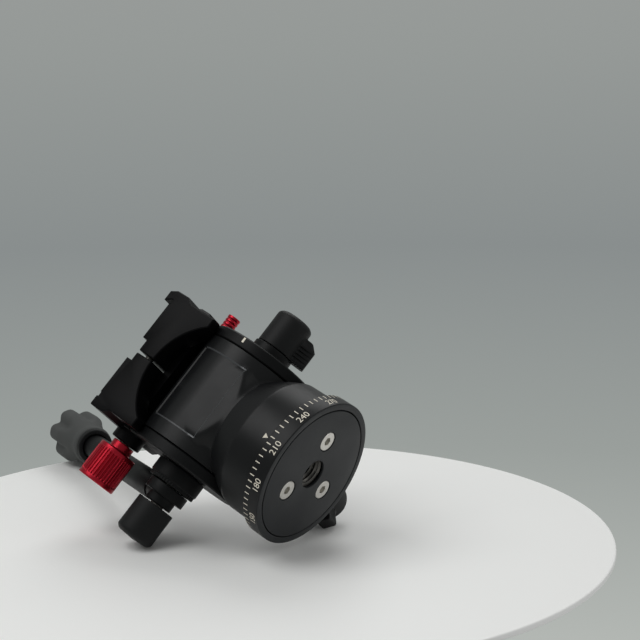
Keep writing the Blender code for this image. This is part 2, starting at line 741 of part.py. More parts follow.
def panel_cutter():
    """A shallow block that follows the drum's round front and the flat neck below it."""
    steps = 7
    straight = math.pi / 2
    angles = [PANEL_START + (straight - PANEL_START) * i / steps for i in range(steps + 1)]
    outline = []
    for radius, way in ((DRUM_RADIUS + OVERRUN, angles), (DRUM_RADIUS - PANEL_DEPTH, angles[::-1])):
        arc = [(-radius * math.sin(a), TILT_HEIGHT + radius * math.cos(a)) for a in way]
        foot = [(-radius, PANEL_BOTTOM)]
        outline += arc + foot if way is angles else foot + arc
    return slab("panel", outline, "X", PANEL_LEFT, PANEL_RIGHT, cutter=True)


cut(casting, panel_cutter())
dress(casting, black, pan_axis)

drag_top = DRAG_CAVITY_TOP - GAP
dress(
    ring("pan_bearing", HUB_RADIUS + GAP, BEARING_RADIUS, flange_top + GAP, drag_top),
    bronze, pan_axis,
)
dress(
    ring("pan_damper_ring", BEARING_RADIUS + GAP, DRAG_RADIUS, flange_top + GAP, drag_top),
    drag, pan_axis,
)
dress(
    ring("pan_bush", HUB_RADIUS + GAP, pan_bush_outer, PAN_BUSH_BOTTOM, HUB_TOP - GAP),
    bronze, pan_axis,
)
pad_start = HUB_RADIUS + GAP
pad_end = pad_start + PAN_PAD_LENGTH
dress(
    rod(
        "pan_lock_pad", Vector((0, pad_start, PAN_LOCK_HEIGHT)),
        Vector((0, pad_end, PAN_LOCK_HEIGHT)), PAN_STUD_RADIUS, SMALL_SIDES,
    ),
    brass, pan_axis,
)
bush_sides = {"left": -1, "right": 1}
for name, side in bush_sides.items():
    low, high = sorted((side * TILT_BUSH_INNER, side * TILT_BUSH_OUTER))
    bush = ring(
        f"tilt_bush_{name}", SHAFT_RADIUS + GAP, TILT_BORE_RADIUS - GAP, low, high,
        TILT_CENTRE, X, FINE_SIDES,
    )
    dress(bush, bronze, pan_axis)
damper_half = TILT_BUSH_INNER - GAP
dress(
    ring(
        "tilt_damper_sleeve", ROTOR_RADIUS + GAP, TILT_BORE_RADIUS - GAP, -damper_half,
        damper_half, TILT_CENTRE, X, FINE_SIDES,
    ),
    drag, pan_axis,
)


# T knobs, one shape for all three locks


def t_knob(name, place, direction, wing_way, stud_radius, parent):
    """A round hub with a crowned end and one ribbed wing, bored for its stud.

    It is made upright round local Z with its wing towards local -Y, then set on its axis.
    """
    hub_profile = [
        (0, KNOB_LENGTH),
        (KNOB_NOSE_RADIUS, KNOB_LENGTH - KNOB_CROWN / 4),
        (KNOB_HUB_RADIUS, KNOB_LENGTH - KNOB_CROWN),
        (KNOB_HUB_RADIUS, KNOB_EDGE),
        (KNOB_HUB_RADIUS - KNOB_EDGE, 0),
        (0, 0),
    ]
    hub = turned(name, hub_profile, sides=FINE_SIDES)
    hub.rotation_euler = (0, 0, 0)
    wing_top = KNOB_LENGTH - WING_SHORT
    outline = [
        (0, 0),
        (-WING_RADIUS, 0),
        (-WING_RADIUS, wing_top - WING_CHAMFER),
        (-WING_RADIUS + WING_CHAMFER, wing_top),
        (0, wing_top),
    ]
    wing = slab(name + "_wing", outline, "X", -WING_HALF, WING_HALF, cutter=True)
    bevel(wing, KNOB_EDGE)
    join(hub, wing)
    rib_step = (wing_top - KNOB_EDGE * 2) / WING_RIBS
    for side in (-1, 1):
        near, far = sorted((side * (WING_HALF - WING_RIB_DEPTH), side * (WING_HALF + OVERRUN)))
        for rib in range(WING_RIBS):
            low = KNOB_EDGE * 2 + rib_step * rib
            groove = box(
                f"{name}_groove_{rib}_{side}", (near, -WING_RADIUS - OVERRUN, low),
                (far, -KNOB_HUB_RADIUS, low + rib_step / 2), cutter=True,
            )
            cut(hub, groove)
    socket = rod(
        name + "_socket", -Z * OVERRUN, Z * KNOB_SOCKET_DEPTH, stud_radius + GAP,
        SMALL_SIDES, cutter=True,
    )
    cut(hub, socket)
    bake(hub)
    set_upright = Matrix((direction.cross(wing_way), -wing_way, direction)).transposed()
    hub.data.transform(set_upright.to_4x4())
    hub.location = place
    return dress(hub, plastic, parent)


pan_lock_axis = joint_empty("pan_lock_axis", Vector((0, PAN_KNOB_START, PAN_LOCK_HEIGHT)), pan_axis)
t_knob(
    "pan_lock_knob", Vector((0, PAN_KNOB_START, PAN_LOCK_HEIGHT)), Y,
    Vector((-math.sin(PAN_WING_LEAN), 0, -math.cos(PAN_WING_LEAN))), PAN_STUD_RADIUS, pan_lock_axis,
)
dress(
    rod(
        "pan_lock_stud", Vector((0, pad_end + GAP, PAN_LOCK_HEIGHT)),
        Vector((0, PAN_KNOB_START + KNOB_SOCKET_DEPTH - GAP, PAN_LOCK_HEIGHT)),
        PAN_STUD_RADIUS, SMALL_SIDES,
    ),
    steel, pan_lock_axis,
)


# Tilt group: shaft, damper rotor, arms and bridge

def shaft_socket(name, side):
    """The threaded bore in a shaft end that a lock stud runs in."""
    return rod(
        name, TILT_CENTRE + X * side * (ARM_OUTER - LOCK_STUD_DEPTH - GAP),
        TILT_CENTRE + X * side * (ARM_OUTER + OVERRUN), LOCK_STUD_RADIUS + GAP,
        SMALL_SIDES, cutter=True,
    )


shaft = rod(
    "tilt_shaft", TILT_CENTRE - X * ARM_OUTER, TILT_CENTRE + X * ARM_OUTER, SHAFT_RADIUS,
)
cut(shaft, shaft_socket("shaft_socket_left", -1), shaft_socket("shaft_socket_right", 1))
dress(shaft, steel, tilt_axis)
dress(
    ring(
        "tilt_damper_rotor", SHAFT_RADIUS + GAP, ROTOR_RADIUS, -damper_half + GAP,
        damper_half - GAP, TILT_CENTRE, X, FINE_SIDES,
    ),
    brass, tilt_axis,
)


def bridge_screw_places(side):
    middle = side * (ARM_INNER + ARM_OUTER) / 2
    return [Vector((middle, y, BRIDGE_TOP)) for y in (-BRIDGE_SCREW_SPAN, BRIDGE_SCREW_SPAN)]


def bridge_screw_seats(name, side):
    return [
        screw_seat(
            f"{name}_seat_{number}", place, Z, BRIDGE_SCREW_RADIUS, BRIDGE_SCREW_HEAD,
            BRIDGE_SCREW_HEAD - BRIDGE_SCREW_RADIUS, BRIDGE_SCREW_LENGTH + GAP,
        )
        for number, place in enumerate(bridge_screw_places(side), 1)
    ]


for name, side in bush_sides.items():
    low, high = sorted((side * ARM_INNER, side * ARM_OUTER))
    arm = rod(
        f"tilt_arm_{name}", TILT_CENTRE + X * low, TILT_CENTRE + X * high, ARM_RADIUS, sides=SIDES,
    )
    bevel(arm, ARM_CHAMFER, angle=math.radians(60))
    arm_neck = box(
        f"arm_neck_{name}", (low, -ARM_NECK_HALF, TILT_HEIGHT), (high, ARM_NECK_HALF, ARM_TOP),
        cutter=True,
    )
    join(arm, arm_neck)
    arm_bore = rod(
        f"arm_bore_{name}", TILT_CENTRE + X * (low - OVERRUN), TILT_CENTRE + X * (high + OVERRUN),
        SHAFT_RADIUS + GAP, cutter=True,
    )
    cut(arm, arm_bore, *bridge_screw_seats(f"tilt_arm_{name}", side))
    dress(arm, black, tilt_axis)

bridge = box(
    "tilt_bridge", (-ARM_OUTER, -ARM_NECK_HALF, BRIDGE_BOTTOM), (ARM_OUTER, ARM_NECK_HALF, BRIDGE_TOP),
)
bevel(bridge, GAP)
jaw_screw_places = [
    Vector((JAW_SCREW_X, y, BRIDGE_BOTTOM)) for y in (-BRIDGE_SCREW_SPAN, BRIDGE_SCREW_SPAN)
]


def jaw_screw_seats(name):
    return [
        screw_seat(
            f"{name}_jaw_seat_{number}", place, -Z, BRIDGE_SCREW_RADIUS, BRIDGE_SCREW_HEAD,
            BRIDGE_SCREW_HEAD - BRIDGE_SCREW_RADIUS, BRIDGE_SCREW_LENGTH + GAP,
        )
        for number, place in enumerate(jaw_screw_places, 1)
    ]


cut(
    bridge, *bridge_screw_seats("bridge_left", -1), *bridge_screw_seats("bridge_right", 1),
    *jaw_screw_seats("bridge"),
)
dress(bridge, black, tilt_axis)

bridge_places = bridge_screw_places(-1) + bridge_screw_places(1)
for number, place in enumerate(bridge_places, 1):
    screw = countersunk_screw(
        f"bridge_screw_{number}", place, Z, BRIDGE_SCREW_RADIUS, BRIDGE_SCREW_HEAD,
        BRIDGE_SCREW_HEAD - BRIDGE_SCREW_RADIUS, BRIDGE_SCREW_LENGTH,
    )
    dress(screw, steel, tilt_axis)
for number, place in enumerate(jaw_screw_places, 1):
    screw = countersunk_screw(
        f"jaw_screw_{number}", place, -Z, BRIDGE_SCREW_RADIUS, BRIDGE_SCREW_HEAD,
        BRIDGE_SCREW_HEAD - BRIDGE_SCREW_RADIUS, BRIDGE_SCREW_LENGTH,
    )
    dress(screw, steel, tilt_axis)


# Quick release clamp: two jaws astride the bridge

def jaw_outline(side, inner):
    """The jaw's end view: outer side, dovetail lip, floor, slit face and arch, for one side."""
    arch_steps = 8
    arch_low = math.acos((LEG_BOTTOM - TILT_HEIGHT) / ARCH_RISE)
    arch_high = math.asin(abs(inner) / ARCH_HALF)
    angles = [arch_high + (arch_low - arch_high) * i / arch_steps for i in range(arch_steps + 1)]
    outline = [
        (abs(inner), CLAMP_FLOOR),
        (LIP_TIP_X - GAP, CLAMP_FLOOR),
        (LIP_TIP_X - GAP, CLAMP_FLOOR - LIP_RELIEF_DEPTH),
        (LIP_ROOT_X, CLAMP_FLOOR - LIP_RELIEF_DEPTH),
        (LIP_ROOT_X, CLAMP_FLOOR),
        (LIP_TIP_X, LIP_TOP - LIP_TIP_THICK),
        (LIP_TIP_X, LIP_TOP),
        (LIP_SHOULDER_X, LIP_TOP),
        (CLAMP_HALF_X, CLAMP_FLOOR),
        (CLAMP_HALF_X, SIDE_TAPER_TOP),
        (SIDE_TAPER_X, SIDE_TAPER_Z),
        (SIDE_TAPER_X, LEG_BOTTOM),
    ]
    outline += [
        (ARCH_HALF * math.sin(a), TILT_HEIGHT + ARCH_RISE * math.cos(a))
        for a in reversed(angles)
    ]
    return [(side * x, z) for x, z in outline]


def jaw(name, side, inner, lip_start):
    """One jaw: a saddle with aprons in front and behind, cleared for the arms and the bridge."""
    body = slab(name, jaw_outline(side, inner), "Y", -CLAMP_HALF_Y, CLAMP_HALF_Y)
    tilt_clear = rod(
        name + "_clear", TILT_CENTRE - X * (CLAMP_HALF_X + OVERRUN),
        TILT_CENTRE + X * (CLAMP_HALF_X + OVERRUN), ARM_CLEAR_RADIUS, sides=SIDES, cutter=True,
    )
    channel = box(
        name + "_channel", (-CLAMP_HALF_X - OVERRUN, -CHANNEL_HALF, LEG_BOTTOM - OVERRUN),
        (CLAMP_HALF_X + OVERRUN, CHANNEL_HALF, CLAMP_BOTTOM), cutter=True,
    )
    recess = box(
        name + "_recess", (-FLOOR_RECESS_HALF, -CLAMP_HALF_Y - OVERRUN, CLAMP_FLOOR - FLOOR_RECESS_DEPTH),
        (FLOOR_RECESS_HALF, CLAMP_HALF_Y + OVERRUN, CLAMP_FLOOR + OVERRUN), cutter=True,
    )
    cut(body, tilt_clear, channel, recess)
    if lip_start > -CLAMP_HALF_Y:
        cut(
            body,
            box(
                name + "_lip_cut", (-CLAMP_HALF_X - OVERRUN, -CLAMP_HALF_Y - OVERRUN, CLAMP_FLOOR),
                (0, lip_start, LIP_TOP + OVERRUN), cutter=True,
            ),
        )
    return body


def across(name, start, end, y, z, radius, sides=SMALL_SIDES, cutter=True):
    """A rod along X at a place in the side view."""
    return rod(name, Vector((start, y, z)), Vector((end, y, z)), radius, sides, cutter)


guide_end = GUIDE_PIN_START + GUIDE_PIN_LENGTH
guide_places = (-GUIDE_PIN_Y, GUIDE_PIN_Y)
fixed_jaw = jaw("clamp_fixed_jaw", 1, 0.0, -CLAMP_HALF_Y)
bulge = box(
    "bulge", (CLAMP_HALF_X - OVERRUN, BULGE_FRONT, BULGE_BOTTOM), (BULGE_OUT, BULGE_REAR, BULGE_TOP),
    cutter=True,
)
bevel(bulge, BULGE_ROUND, segments=2)
join(fixed_jaw, bulge)
cut(
    fixed_jaw,
    across(
        "fixed_screw_bore", -OVERRUN, CLAMP_SCREW_END + GAP, 0, CLAMP_SCREW_HEIGHT,
        CLAMP_SCREW_RADIUS + GAP,
    ),
    across(
        "pin_bore", PIN_COLLAR_START - GAP, CLAMP_HALF_X + OVERRUN, PIN_Y, PIN_HEIGHT,
        PIN_BORE_RADIUS,
    ),
    *[
        across(
            f"fixed_guide_bore_{i}", -OVERRUN, guide_end + GAP, y, GUIDE_PIN_HEIGHT,
            GUIDE_PIN_RADIUS + GAP,
        )
        for i, y in enumerate(guide_places)
    ],
    *jaw_screw_seats("fixed_jaw"),
)
dress(fixed_jaw, black, tilt_axis)

for number, y in enumerate(guide_places, 1):
    pin = across(
        f"guide_pin_{number}", GUIDE_PIN_START, guide_end, y, GUIDE_PIN_HEIGHT, GUIDE_PIN_RADIUS,
        cutter=False,
    )
    dress(pin, steel, tilt_axis)

jaw_axis = joint_empty(
    "jaw_slide", Vector((JAW_SLIT_LEFT, 0, CLAMP_SCREW_HEIGHT)), tilt_axis,
)
moving_jaw = jaw("clamp_moving_jaw", -1, JAW_SLIT_LEFT, LEFT_LIP_START)
join(
    moving_jaw,
    across(
        "clamp_boss", -SIDE_TAPER_X + OVERRUN * 2, -BOSS_END, 0, CLAMP_SCREW_HEIGHT, BOSS_RADIUS, FINE_SIDES,
    ),
)
boss_channel = box(
    "boss_channel", (-CLAMP_HALF_X - OVERRUN, -CHANNEL_HALF, LEG_BOTTOM - OVERRUN),
    (0, CHANNEL_HALF, CLAMP_BOTTOM), cutter=True,
)
cut(
    moving_jaw,
    boss_channel,
    across(
        "moving_screw_bore", OVERRUN, -BOSS_END - OVERRUN, 0, CLAMP_SCREW_HEIGHT,
        CLAMP_SCREW_RADIUS + GAP,
    ),
    *[
        across(
            f"moving_guide_bore_{i}", OVERRUN, GUIDE_PIN_START - GAP, y, GUIDE_PIN_HEIGHT,
            GUIDE_PIN_RADIUS + GAP,
        )
        for i, y in enumerate(guide_places)
    ],
)
dress(moving_jaw, black, jaw_axis)


# Clamp knob: plain collars at both ends, ribs along its middle

knob_axis = joint_empty(
    "clamp_knob_axis", Vector((-CLAMP_KNOB_START, 0, CLAMP_SCREW_HEIGHT)), jaw_axis,
)
clamp_knob_profile = [
    (0, CLAMP_KNOB_END),
    (CLAMP_KNOB_RADIUS - KNOB_EDGE, CLAMP_KNOB_END),
    (CLAMP_KNOB_RADIUS, CLAMP_KNOB_END - KNOB_EDGE),
    (CLAMP_KNOB_RADIUS, CLAMP_KNOB_BODY + KNOB_EDGE),
    (CLAMP_KNOB_RADIUS - KNOB_EDGE, CLAMP_KNOB_BODY),
    (CLAMP_KNOB_NECK, CLAMP_KNOB_BODY),
    (CLAMP_KNOB_NECK, CLAMP_KNOB_START),
    (0, CLAMP_KNOB_START),
]
clamp_knob = turned(
    "clamp_knob", clamp_knob_profile, Z * CLAMP_SCREW_HEIGHT, -X, CLAMP_KNOB_RIBS * 2,
)
groove_half = math.pi * CLAMP_KNOB_RADIUS / CLAMP_KNOB_RIBS / 2
for rib in range(CLAMP_KNOB_RIBS):
    angle = FULL_TURN * (rib + 0.5) / CLAMP_KNOB_RIBS
    groove = box(
        f"clamp_knob_groove_{rib}",
        (-CLAMP_KNOB_END + CLAMP_KNOB_COLLAR, -groove_half, CLAMP_KNOB_RADIUS - CLAMP_KNOB_GROOVE),
        (-CLAMP_KNOB_BODY - CLAMP_KNOB_COLLAR, groove_half, CLAMP_KNOB_RADIUS + OVERRUN),
        cutter=True,
    )
    groove.data.transform(Matrix.Rotation(angle, 4, "X"))
    groove.location = Z * CLAMP_SCREW_HEIGHT
    cut(clamp_knob, groove)
screw_in_knob = CLAMP_KNOB_START + KNOB_SOCKET_DEPTH
cut(
    clamp_knob,
    across(
        "clamp_knob_bore", -CLAMP_KNOB_START + OVERRUN, -screw_in_knob - GAP, 0,
        CLAMP_SCREW_HEIGHT, CLAMP_SCREW_RADIUS + GAP,
    ),
)
dress(clamp_knob, red, knob_axis)
dress(
    across(
        "clamp_screw", -screw_in_knob, CLAMP_SCREW_END, 0, CLAMP_SCREW_HEIGHT,
        CLAMP_SCREW_RADIUS, cutter=False,
    ),
    steel, knob_axis,
)


# Safety pin in its sleeve on the fixed jaw

pin_axis = joint_empty("safety_pin_slide", Vector((PIN_HEAD_START, PIN_Y, PIN_HEIGHT)), tilt_axis)
pin_place = Vector((0, PIN_Y, PIN_HEIGHT))
pin_rib_step = (PIN_HEAD_END - PIN_HEAD_START) / (PIN_RIBS * 2 + 1)
pin_profile = [(0, PIN_HEAD_END), (PIN_HEAD_RADIUS, PIN_HEAD_END)]
for rib in range(PIN_RIBS):
    top = PIN_HEAD_END - pin_rib_step * (rib * 2 + 1)
    pin_profile += [
        (PIN_HEAD_RADIUS, top),
        (PIN_HEAD_RADIUS - PIN_RIB_DEPTH, top - pin_rib_step / 2),
        (PIN_HEAD_RADIUS, top - pin_rib_step),
    ]
pin_profile += [
    (PIN_HEAD_RADIUS, PIN_HEAD_START),
    (PIN_STEM_RADIUS, PIN_HEAD_START),
    (PIN_STEM_RADIUS, PIN_COLLAR_END),
    (PIN_COLLAR_RADIUS, PIN_COLLAR_END),
    (PIN_COLLAR_RADIUS, PIN_COLLAR_START),
    (0, PIN_COLLAR_START),
]
dress(turned("safety_pin", pin_profile, pin_place, X, SMALL_SIDES), red, pin_axis)
dress(
    ring(
        "pin_sleeve", PIN_STEM_RADIUS + GAP, PIN_SLEEVE_RADIUS, PIN_SLEEVE_START,
        PIN_SLEEVE_END, pin_place, X, SMALL_SIDES,
    ),
    steel, tilt_axis,
)


# Tilt lock on the right

tilt_lock_axis = joint_empty("tilt_lock_axis", TILT_CENTRE + X * TILT_KNOB_START, tilt_axis)
washer_start = ARM_OUTER + GAP
dress(
    ring(
        "tilt_washer", LOCK_STUD_RADIUS + GAP, TILT_WASHER_RADIUS, washer_start,
        TILT_KNOB_START - GAP, TILT_CENTRE, X, FINE_SIDES,
    ),
    black, tilt_axis,
)
t_knob(
    "tilt_lock_knob", TILT_CENTRE + X * TILT_KNOB_START, X,
    Vector((0, math.sin(TILT_WING_LEAN), math.cos(TILT_WING_LEAN))), LOCK_STUD_RADIUS, tilt_lock_axis,
)
stud_inner = ARM_OUTER - LOCK_STUD_DEPTH
dress(
    rod(
        "tilt_lock_stud", TILT_CENTRE + X * stud_inner,
        TILT_CENTRE + X * (TILT_KNOB_START + KNOB_SOCKET_DEPTH - GAP), LOCK_STUD_RADIUS, SMALL_SIDES,
    ),
    steel, tilt_lock_axis,
)


# Handle on the left: rosette, eye, rod, collar, grip and its lock

rosette = ring(
    "rosette_disc", LOCK_STUD_RADIUS + GAP, ROSETTE_RADIUS, ROSETTE_START, ROSETTE_END,
    TILT_CENTRE, -X,
)
dress(rosette, black, tilt_axis)

handle_centre = TILT_CENTRE + X * HANDLE_X
handle_axis = joint_empty("handle_axis", handle_centre, tilt_axis)
handle_way = Vector((0, math.sin(HANDLE_LEAN), math.cos(HANDLE_LEAN)))

eye_profile = [
    (0, EYE_BOSS_END),
    (EYE_BOSS_RADIUS, EYE_BOSS_END),
    (EYE_BOSS_RADIUS, EYE_END),
    (EYE_RADIUS, EYE_END),
    (EYE_RADIUS, EYE_START - OVERRUN),
    (0, EYE_START - OVERRUN),
]
eye = turned("handle_eye", eye_profile, TILT_CENTRE, -X, FINE_SIDES)
join(
    eye,
    rod(
        "eye_neck", handle_centre, handle_centre + handle_way * EYE_NECK_END, EYE_NECK_RADIUS,
        cutter=True,
    ),
    rod(
        "eye_spigot", handle_centre, handle_centre + handle_way * ROD_PLUG_END, ROD_PLUG_RADIUS,
        SMALL_SIDES, cutter=True,
    ),
)
cut(
    eye,
    rod(
        "rosette_room", TILT_CENTRE - X * ARM_INNER, TILT_CENTRE - X * EYE_START,
        ROSETTE_RADIUS + OVERRUN, cutter=True,
    ),
    rod(
        "eye_bore", TILT_CENTRE - X * ARM_INNER, TILT_CENTRE - X * (EYE_BOSS_END + OVERRUN),
        LOCK_STUD_RADIUS + GAP, SMALL_SIDES, cutter=True,
    ),
)
dress(eye, black, handle_axis)

handle_rod = rod(
    "handle_rod", handle_centre + handle_way * ROD_START, handle_centre + handle_way * ROD_END,
    ROD_RADIUS,
)
cut(
    handle_rod,
    rod(
        "rod_socket", handle_centre, handle_centre + handle_way * (ROD_PLUG_END + GAP),
        ROD_PLUG_RADIUS + GAP, SMALL_SIDES, cutter=True,
    ),
)
dress(handle_rod, black, handle_axis)
dress(
    ring(
        "handle_collar", ROD_RADIUS + GAP, COLLAR_RADIUS, COLLAR_START, COLLAR_END,
        handle_centre, handle_way, FINE_SIDES,
    ),
    plastic, handle_axis,
)

grip_length = GRIP_END - GRIP_START
waist_start_share = 0.1
waist_end_share = 0.24
lobe_start_share = 0.52
lobe_end_share = 0.88
grip_profile = [
    (0, GRIP_END),
    (GRIP_RADIUS - KNOB_CROWN, GRIP_END),
    (GRIP_RADIUS, GRIP_START + grip_length * lobe_end_share),
    (GRIP_RADIUS, GRIP_START + grip_length * lobe_start_share),
    (GRIP_WAIST_RADIUS, GRIP_START + grip_length * waist_end_share),
    (GRIP_LIP_RADIUS, GRIP_START + grip_length * waist_start_share),
    (GRIP_LIP_RADIUS, GRIP_START),
    (0, GRIP_START),
]
grip = turned("handle_grip", grip_profile, handle_centre, handle_way, GRIP_LOBES * 8)
flute_centre = GRIP_RADIUS + GRIP_FLUTE_RADIUS - GRIP_FLUTE_SINK
side_way = handle_way.cross(X)
for lobe in range(GRIP_LOBES):
    angle = FULL_TURN * (lobe + 0.5) / GRIP_LOBES
    offset = (X * math.cos(angle) + side_way * math.sin(angle)) * flute_centre
    flute = rod(
        f"grip_flute_{lobe}",
        handle_centre + offset + handle_way * (GRIP_START - OVERRUN),
        handle_centre + offset + handle_way * (GRIP_END + OVERRUN),
        GRIP_FLUTE_RADIUS, SMALL_SIDES, cutter=True,
    )
    cut(grip, flute)
cut(
    grip,
    rod(
        "grip_bore", handle_centre + handle_way * (GRIP_START - OVERRUN),
        handle_centre + handle_way * (ROD_END + GAP), ROD_RADIUS + GAP, cutter=True,
    ),
)
dress(grip, rubber, handle_axis)

handle_lock_axis = joint_empty("handle_lock_axis", TILT_CENTRE - X * HANDLE_KNOB_START, handle_axis)
t_knob(
    "handle_lock_knob", TILT_CENTRE - X * HANDLE_KNOB_START, -X,
    Vector((0, math.sin(HANDLE_WING_LEAN), math.cos(HANDLE_WING_LEAN))), LOCK_STUD_RADIUS,
    handle_lock_axis,
)
dress(
    rod(
        "handle_lock_stud", TILT_CENTRE - X * stud_inner,
        TILT_CENTRE - X * (HANDLE_KNOB_START + KNOB_SOCKET_DEPTH - GAP), LOCK_STUD_RADIUS,
        SMALL_SIDES,
    ),
    steel, handle_lock_axis,
)


# Every piece gets its modifiers applied and its round sides shaded smooth

for piece in list(head_collection.objects):
    if piece.type != "MESH":
        continue
    bake(piece)
    piece.data.shade_smooth()
    piece.data.set_sharp_from_angle(angle=SMOOTH_ANGLE)
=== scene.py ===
# %% [markdown]
# # A small fluid video head lying on its side
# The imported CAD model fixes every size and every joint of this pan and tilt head. This script gives it
# its looks: each piece that can be seen gets a finer surface with rounded edges and a real finish, and
# the head lies on a pale turntable in soft light. All shapes here are worked out in millimetres and are
# turned into metres in one place, where a mesh is made.

# %% Load the fixed frame
import json
import math

import bmesh
import bpy
import numpy as np
from mathutils import Matrix, Vector


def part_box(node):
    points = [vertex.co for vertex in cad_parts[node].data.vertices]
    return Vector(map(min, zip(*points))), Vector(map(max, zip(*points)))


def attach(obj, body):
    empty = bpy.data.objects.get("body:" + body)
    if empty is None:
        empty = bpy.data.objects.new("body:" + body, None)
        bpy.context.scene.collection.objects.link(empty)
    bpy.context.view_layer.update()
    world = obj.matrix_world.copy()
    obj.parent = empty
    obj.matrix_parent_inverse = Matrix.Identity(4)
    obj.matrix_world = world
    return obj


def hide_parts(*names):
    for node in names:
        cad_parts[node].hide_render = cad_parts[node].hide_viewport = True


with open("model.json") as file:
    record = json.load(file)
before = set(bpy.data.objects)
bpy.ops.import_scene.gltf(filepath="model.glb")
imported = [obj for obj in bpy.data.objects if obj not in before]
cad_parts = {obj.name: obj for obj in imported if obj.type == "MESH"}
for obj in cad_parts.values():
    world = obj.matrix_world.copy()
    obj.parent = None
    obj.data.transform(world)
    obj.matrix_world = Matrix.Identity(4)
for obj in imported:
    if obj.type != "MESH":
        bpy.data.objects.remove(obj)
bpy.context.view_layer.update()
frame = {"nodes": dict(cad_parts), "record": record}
MM = 0.001

# %% [markdown]
# ## Who moves with whom
# The record names the body that each CAD node moves with and the material slot that it takes its finish
# from. Reading the bodies here means that a new surface only has to name the node that it stands for, and
# the slots pick out the steel nodes that stay. Wherever a node's box gives a size, the surface takes it
# from there, so that both stay the same size.

# %% Read bodies, slots and boxes from the frame
behaviour = frame["record"]["behaviour"]
body_of = {node: body for body, nodes in behaviour["bodies"].items() for node in nodes}
slot_of = {part["node"]: part["material_slot"] for part in frame["record"]["subparts"]}


def box_of(node):
    """The low and high corner of a CAD node in millimetres, rounded to a ten thousandth."""
    low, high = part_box(node)
    return np.round(np.array(low) / MM, 4), np.round(np.array(high) / MM, 4)


def middle_of(node):
    """The middle of a CAD node's box and half its size, in millimetres."""
    low, high = box_of(node)
    return np.round((low + high) / 2, 4), np.round((high - low) / 2, 4)


# %% [markdown]
# ## Colours and nodes
# A colour is written as the sRGB hex value that a picture would show, and the shader wants linear light,
# so one function turns one into the other. A second one adds a shader node with its settings and links.

# %% Colour and node helpers


def srgb(code):
    """Turns an sRGB hex colour into linear light: ((c + 0.055) / 1.055) ** 2.4 above the dark toe."""
    channels = np.array([int(code[i:i + 2], 16) for i in (1, 3, 5)]) / 255
    linear = np.where(channels <= 0.04045, channels / 12.92, ((channels + 0.055) / 1.055) ** 2.4)
    return (*linear.tolist(), 1.0)


def add(tree, kind, inputs=None, **settings):
    """Adds one node, with its settings, and gives its inputs a value or a link."""
    made = tree.nodes.new(kind)
    for name, value in settings.items():
        setattr(made, name, value)
    for name, value in (inputs or {}).items():
        if isinstance(value, bpy.types.NodeSocket):
            tree.links.new(value, made.inputs[name])
        else:
            made.inputs[name].default_value = value
    return made


def start(name, colour, roughness, metallic=0.0, gloss=0.5):
    """A material with the values that are the same all over set on its shader, and its node tree."""
    made = bpy.data.materials.new(name)
    made.use_nodes = True
    shader = made.node_tree.nodes["Principled BSDF"]
    shader.inputs["Base Color"].default_value = srgb(colour)
    shader.inputs["Roughness"].default_value = roughness
    shader.inputs["Metallic"].default_value = metallic
    shader.inputs["Specular IOR Level"].default_value = gloss
    made.diffuse_color = srgb(colour)
    return made, made.node_tree, shader


def bumps(tree, shader, height, depth):
    """Lets a height between 0 and 1 raise the surface by up to a depth in mm."""
    bump = add(tree, "ShaderNodeBump", {"Height": height, "Distance": depth * MM, "Strength": 1.0})
    tree.links.new(bump.outputs["Normal"], shader.inputs["Normal"])


def cloud(tree, size, detail):
    """Noise on object coordinates with lumps of a size in mm, and finer ones within them."""
    place = add(tree, "ShaderNodeTexCoord")
    return add(tree, "ShaderNodeTexNoise", {
        "Vector": place.outputs["Object"], "Scale": 1 / (size * MM), "Detail": detail,
    })


def grain(tree, shader, size, depth):
    """Fine grain: one grain per size in mm, as bumps of a depth in mm."""
    noise = cloud(tree, size, 3.0)
    noise.inputs["Roughness"].default_value = 0.6
    bumps(tree, shader, noise.outputs["Fac"], depth)


def uneven(tree, shader, low, high, size):
    """Roughness that drifts softly between two values, with patches of a size in mm."""
    drift = cloud(tree, size, 4.0)
    spread = add(tree, "ShaderNodeMapRange", {
        "Value": drift.outputs["Fac"], "From Min": 0.3, "From Max": 0.7, "To Min": low, "To Max": high,
    })
    tree.links.new(spread.outputs["Result"], shader.inputs["Roughness"])


print("a near black in linear light:", [round(value, 4) for value in srgb("#111213")[:3]])

# %% [markdown]
# ## Anodised aluminium
# The cheeks, the rosette and the handle's metal are machined aluminium, bead blasted and dyed black in
# an anodising bath. The oxide is a glassy layer over a black dye, so it is no mirror: it shows broad soft
# highlights. The blast leaves a grain of a tenth of a millimetre, drawn twice as coarse here so that it
# shows at all.

# %% Black bead blasted anodised aluminium
black_anodised, tree, shader = start(
    "black anodised aluminium, bead blasted", "#090a0b", roughness=0.45, gloss=0.14,
)
grain(tree, shader, size=0.22, depth=0.006)
uneven(tree, shader, low=0.42, high=0.52, size=9.0)
print("made", black_anodised.name)

# %% [markdown]
# ## The clamp's darker black, painted shade
# The clamp jaws and the bridge get a darker black and a weaker gloss than the body: painted shade, since
# their faces turn from the light and show only dark reflections. The same finish serves otherwise.

# %% Clamp black with painted shade
clamp_black_painted_shade, tree, shader = start(
    "clamp black anodised aluminium, painted shade", "#070708", roughness=0.4, gloss=0.07,
)
grain(tree, shader, size=0.22, depth=0.004)
print("made", clamp_black_painted_shade.name)

# %% [markdown]
# ## Turned anodised aluminium
# The base ring and the body were finished on a lathe before they went into the bath, and the drum, one
# casting with the round foot, has the same finish. The tool leaves rings of fine scratches round the pan
# axis, about five to a millimetre, which stretch a highlight along the axis. A wave texture in bands along
# Z draws them, much coarser than life, and very shallow.

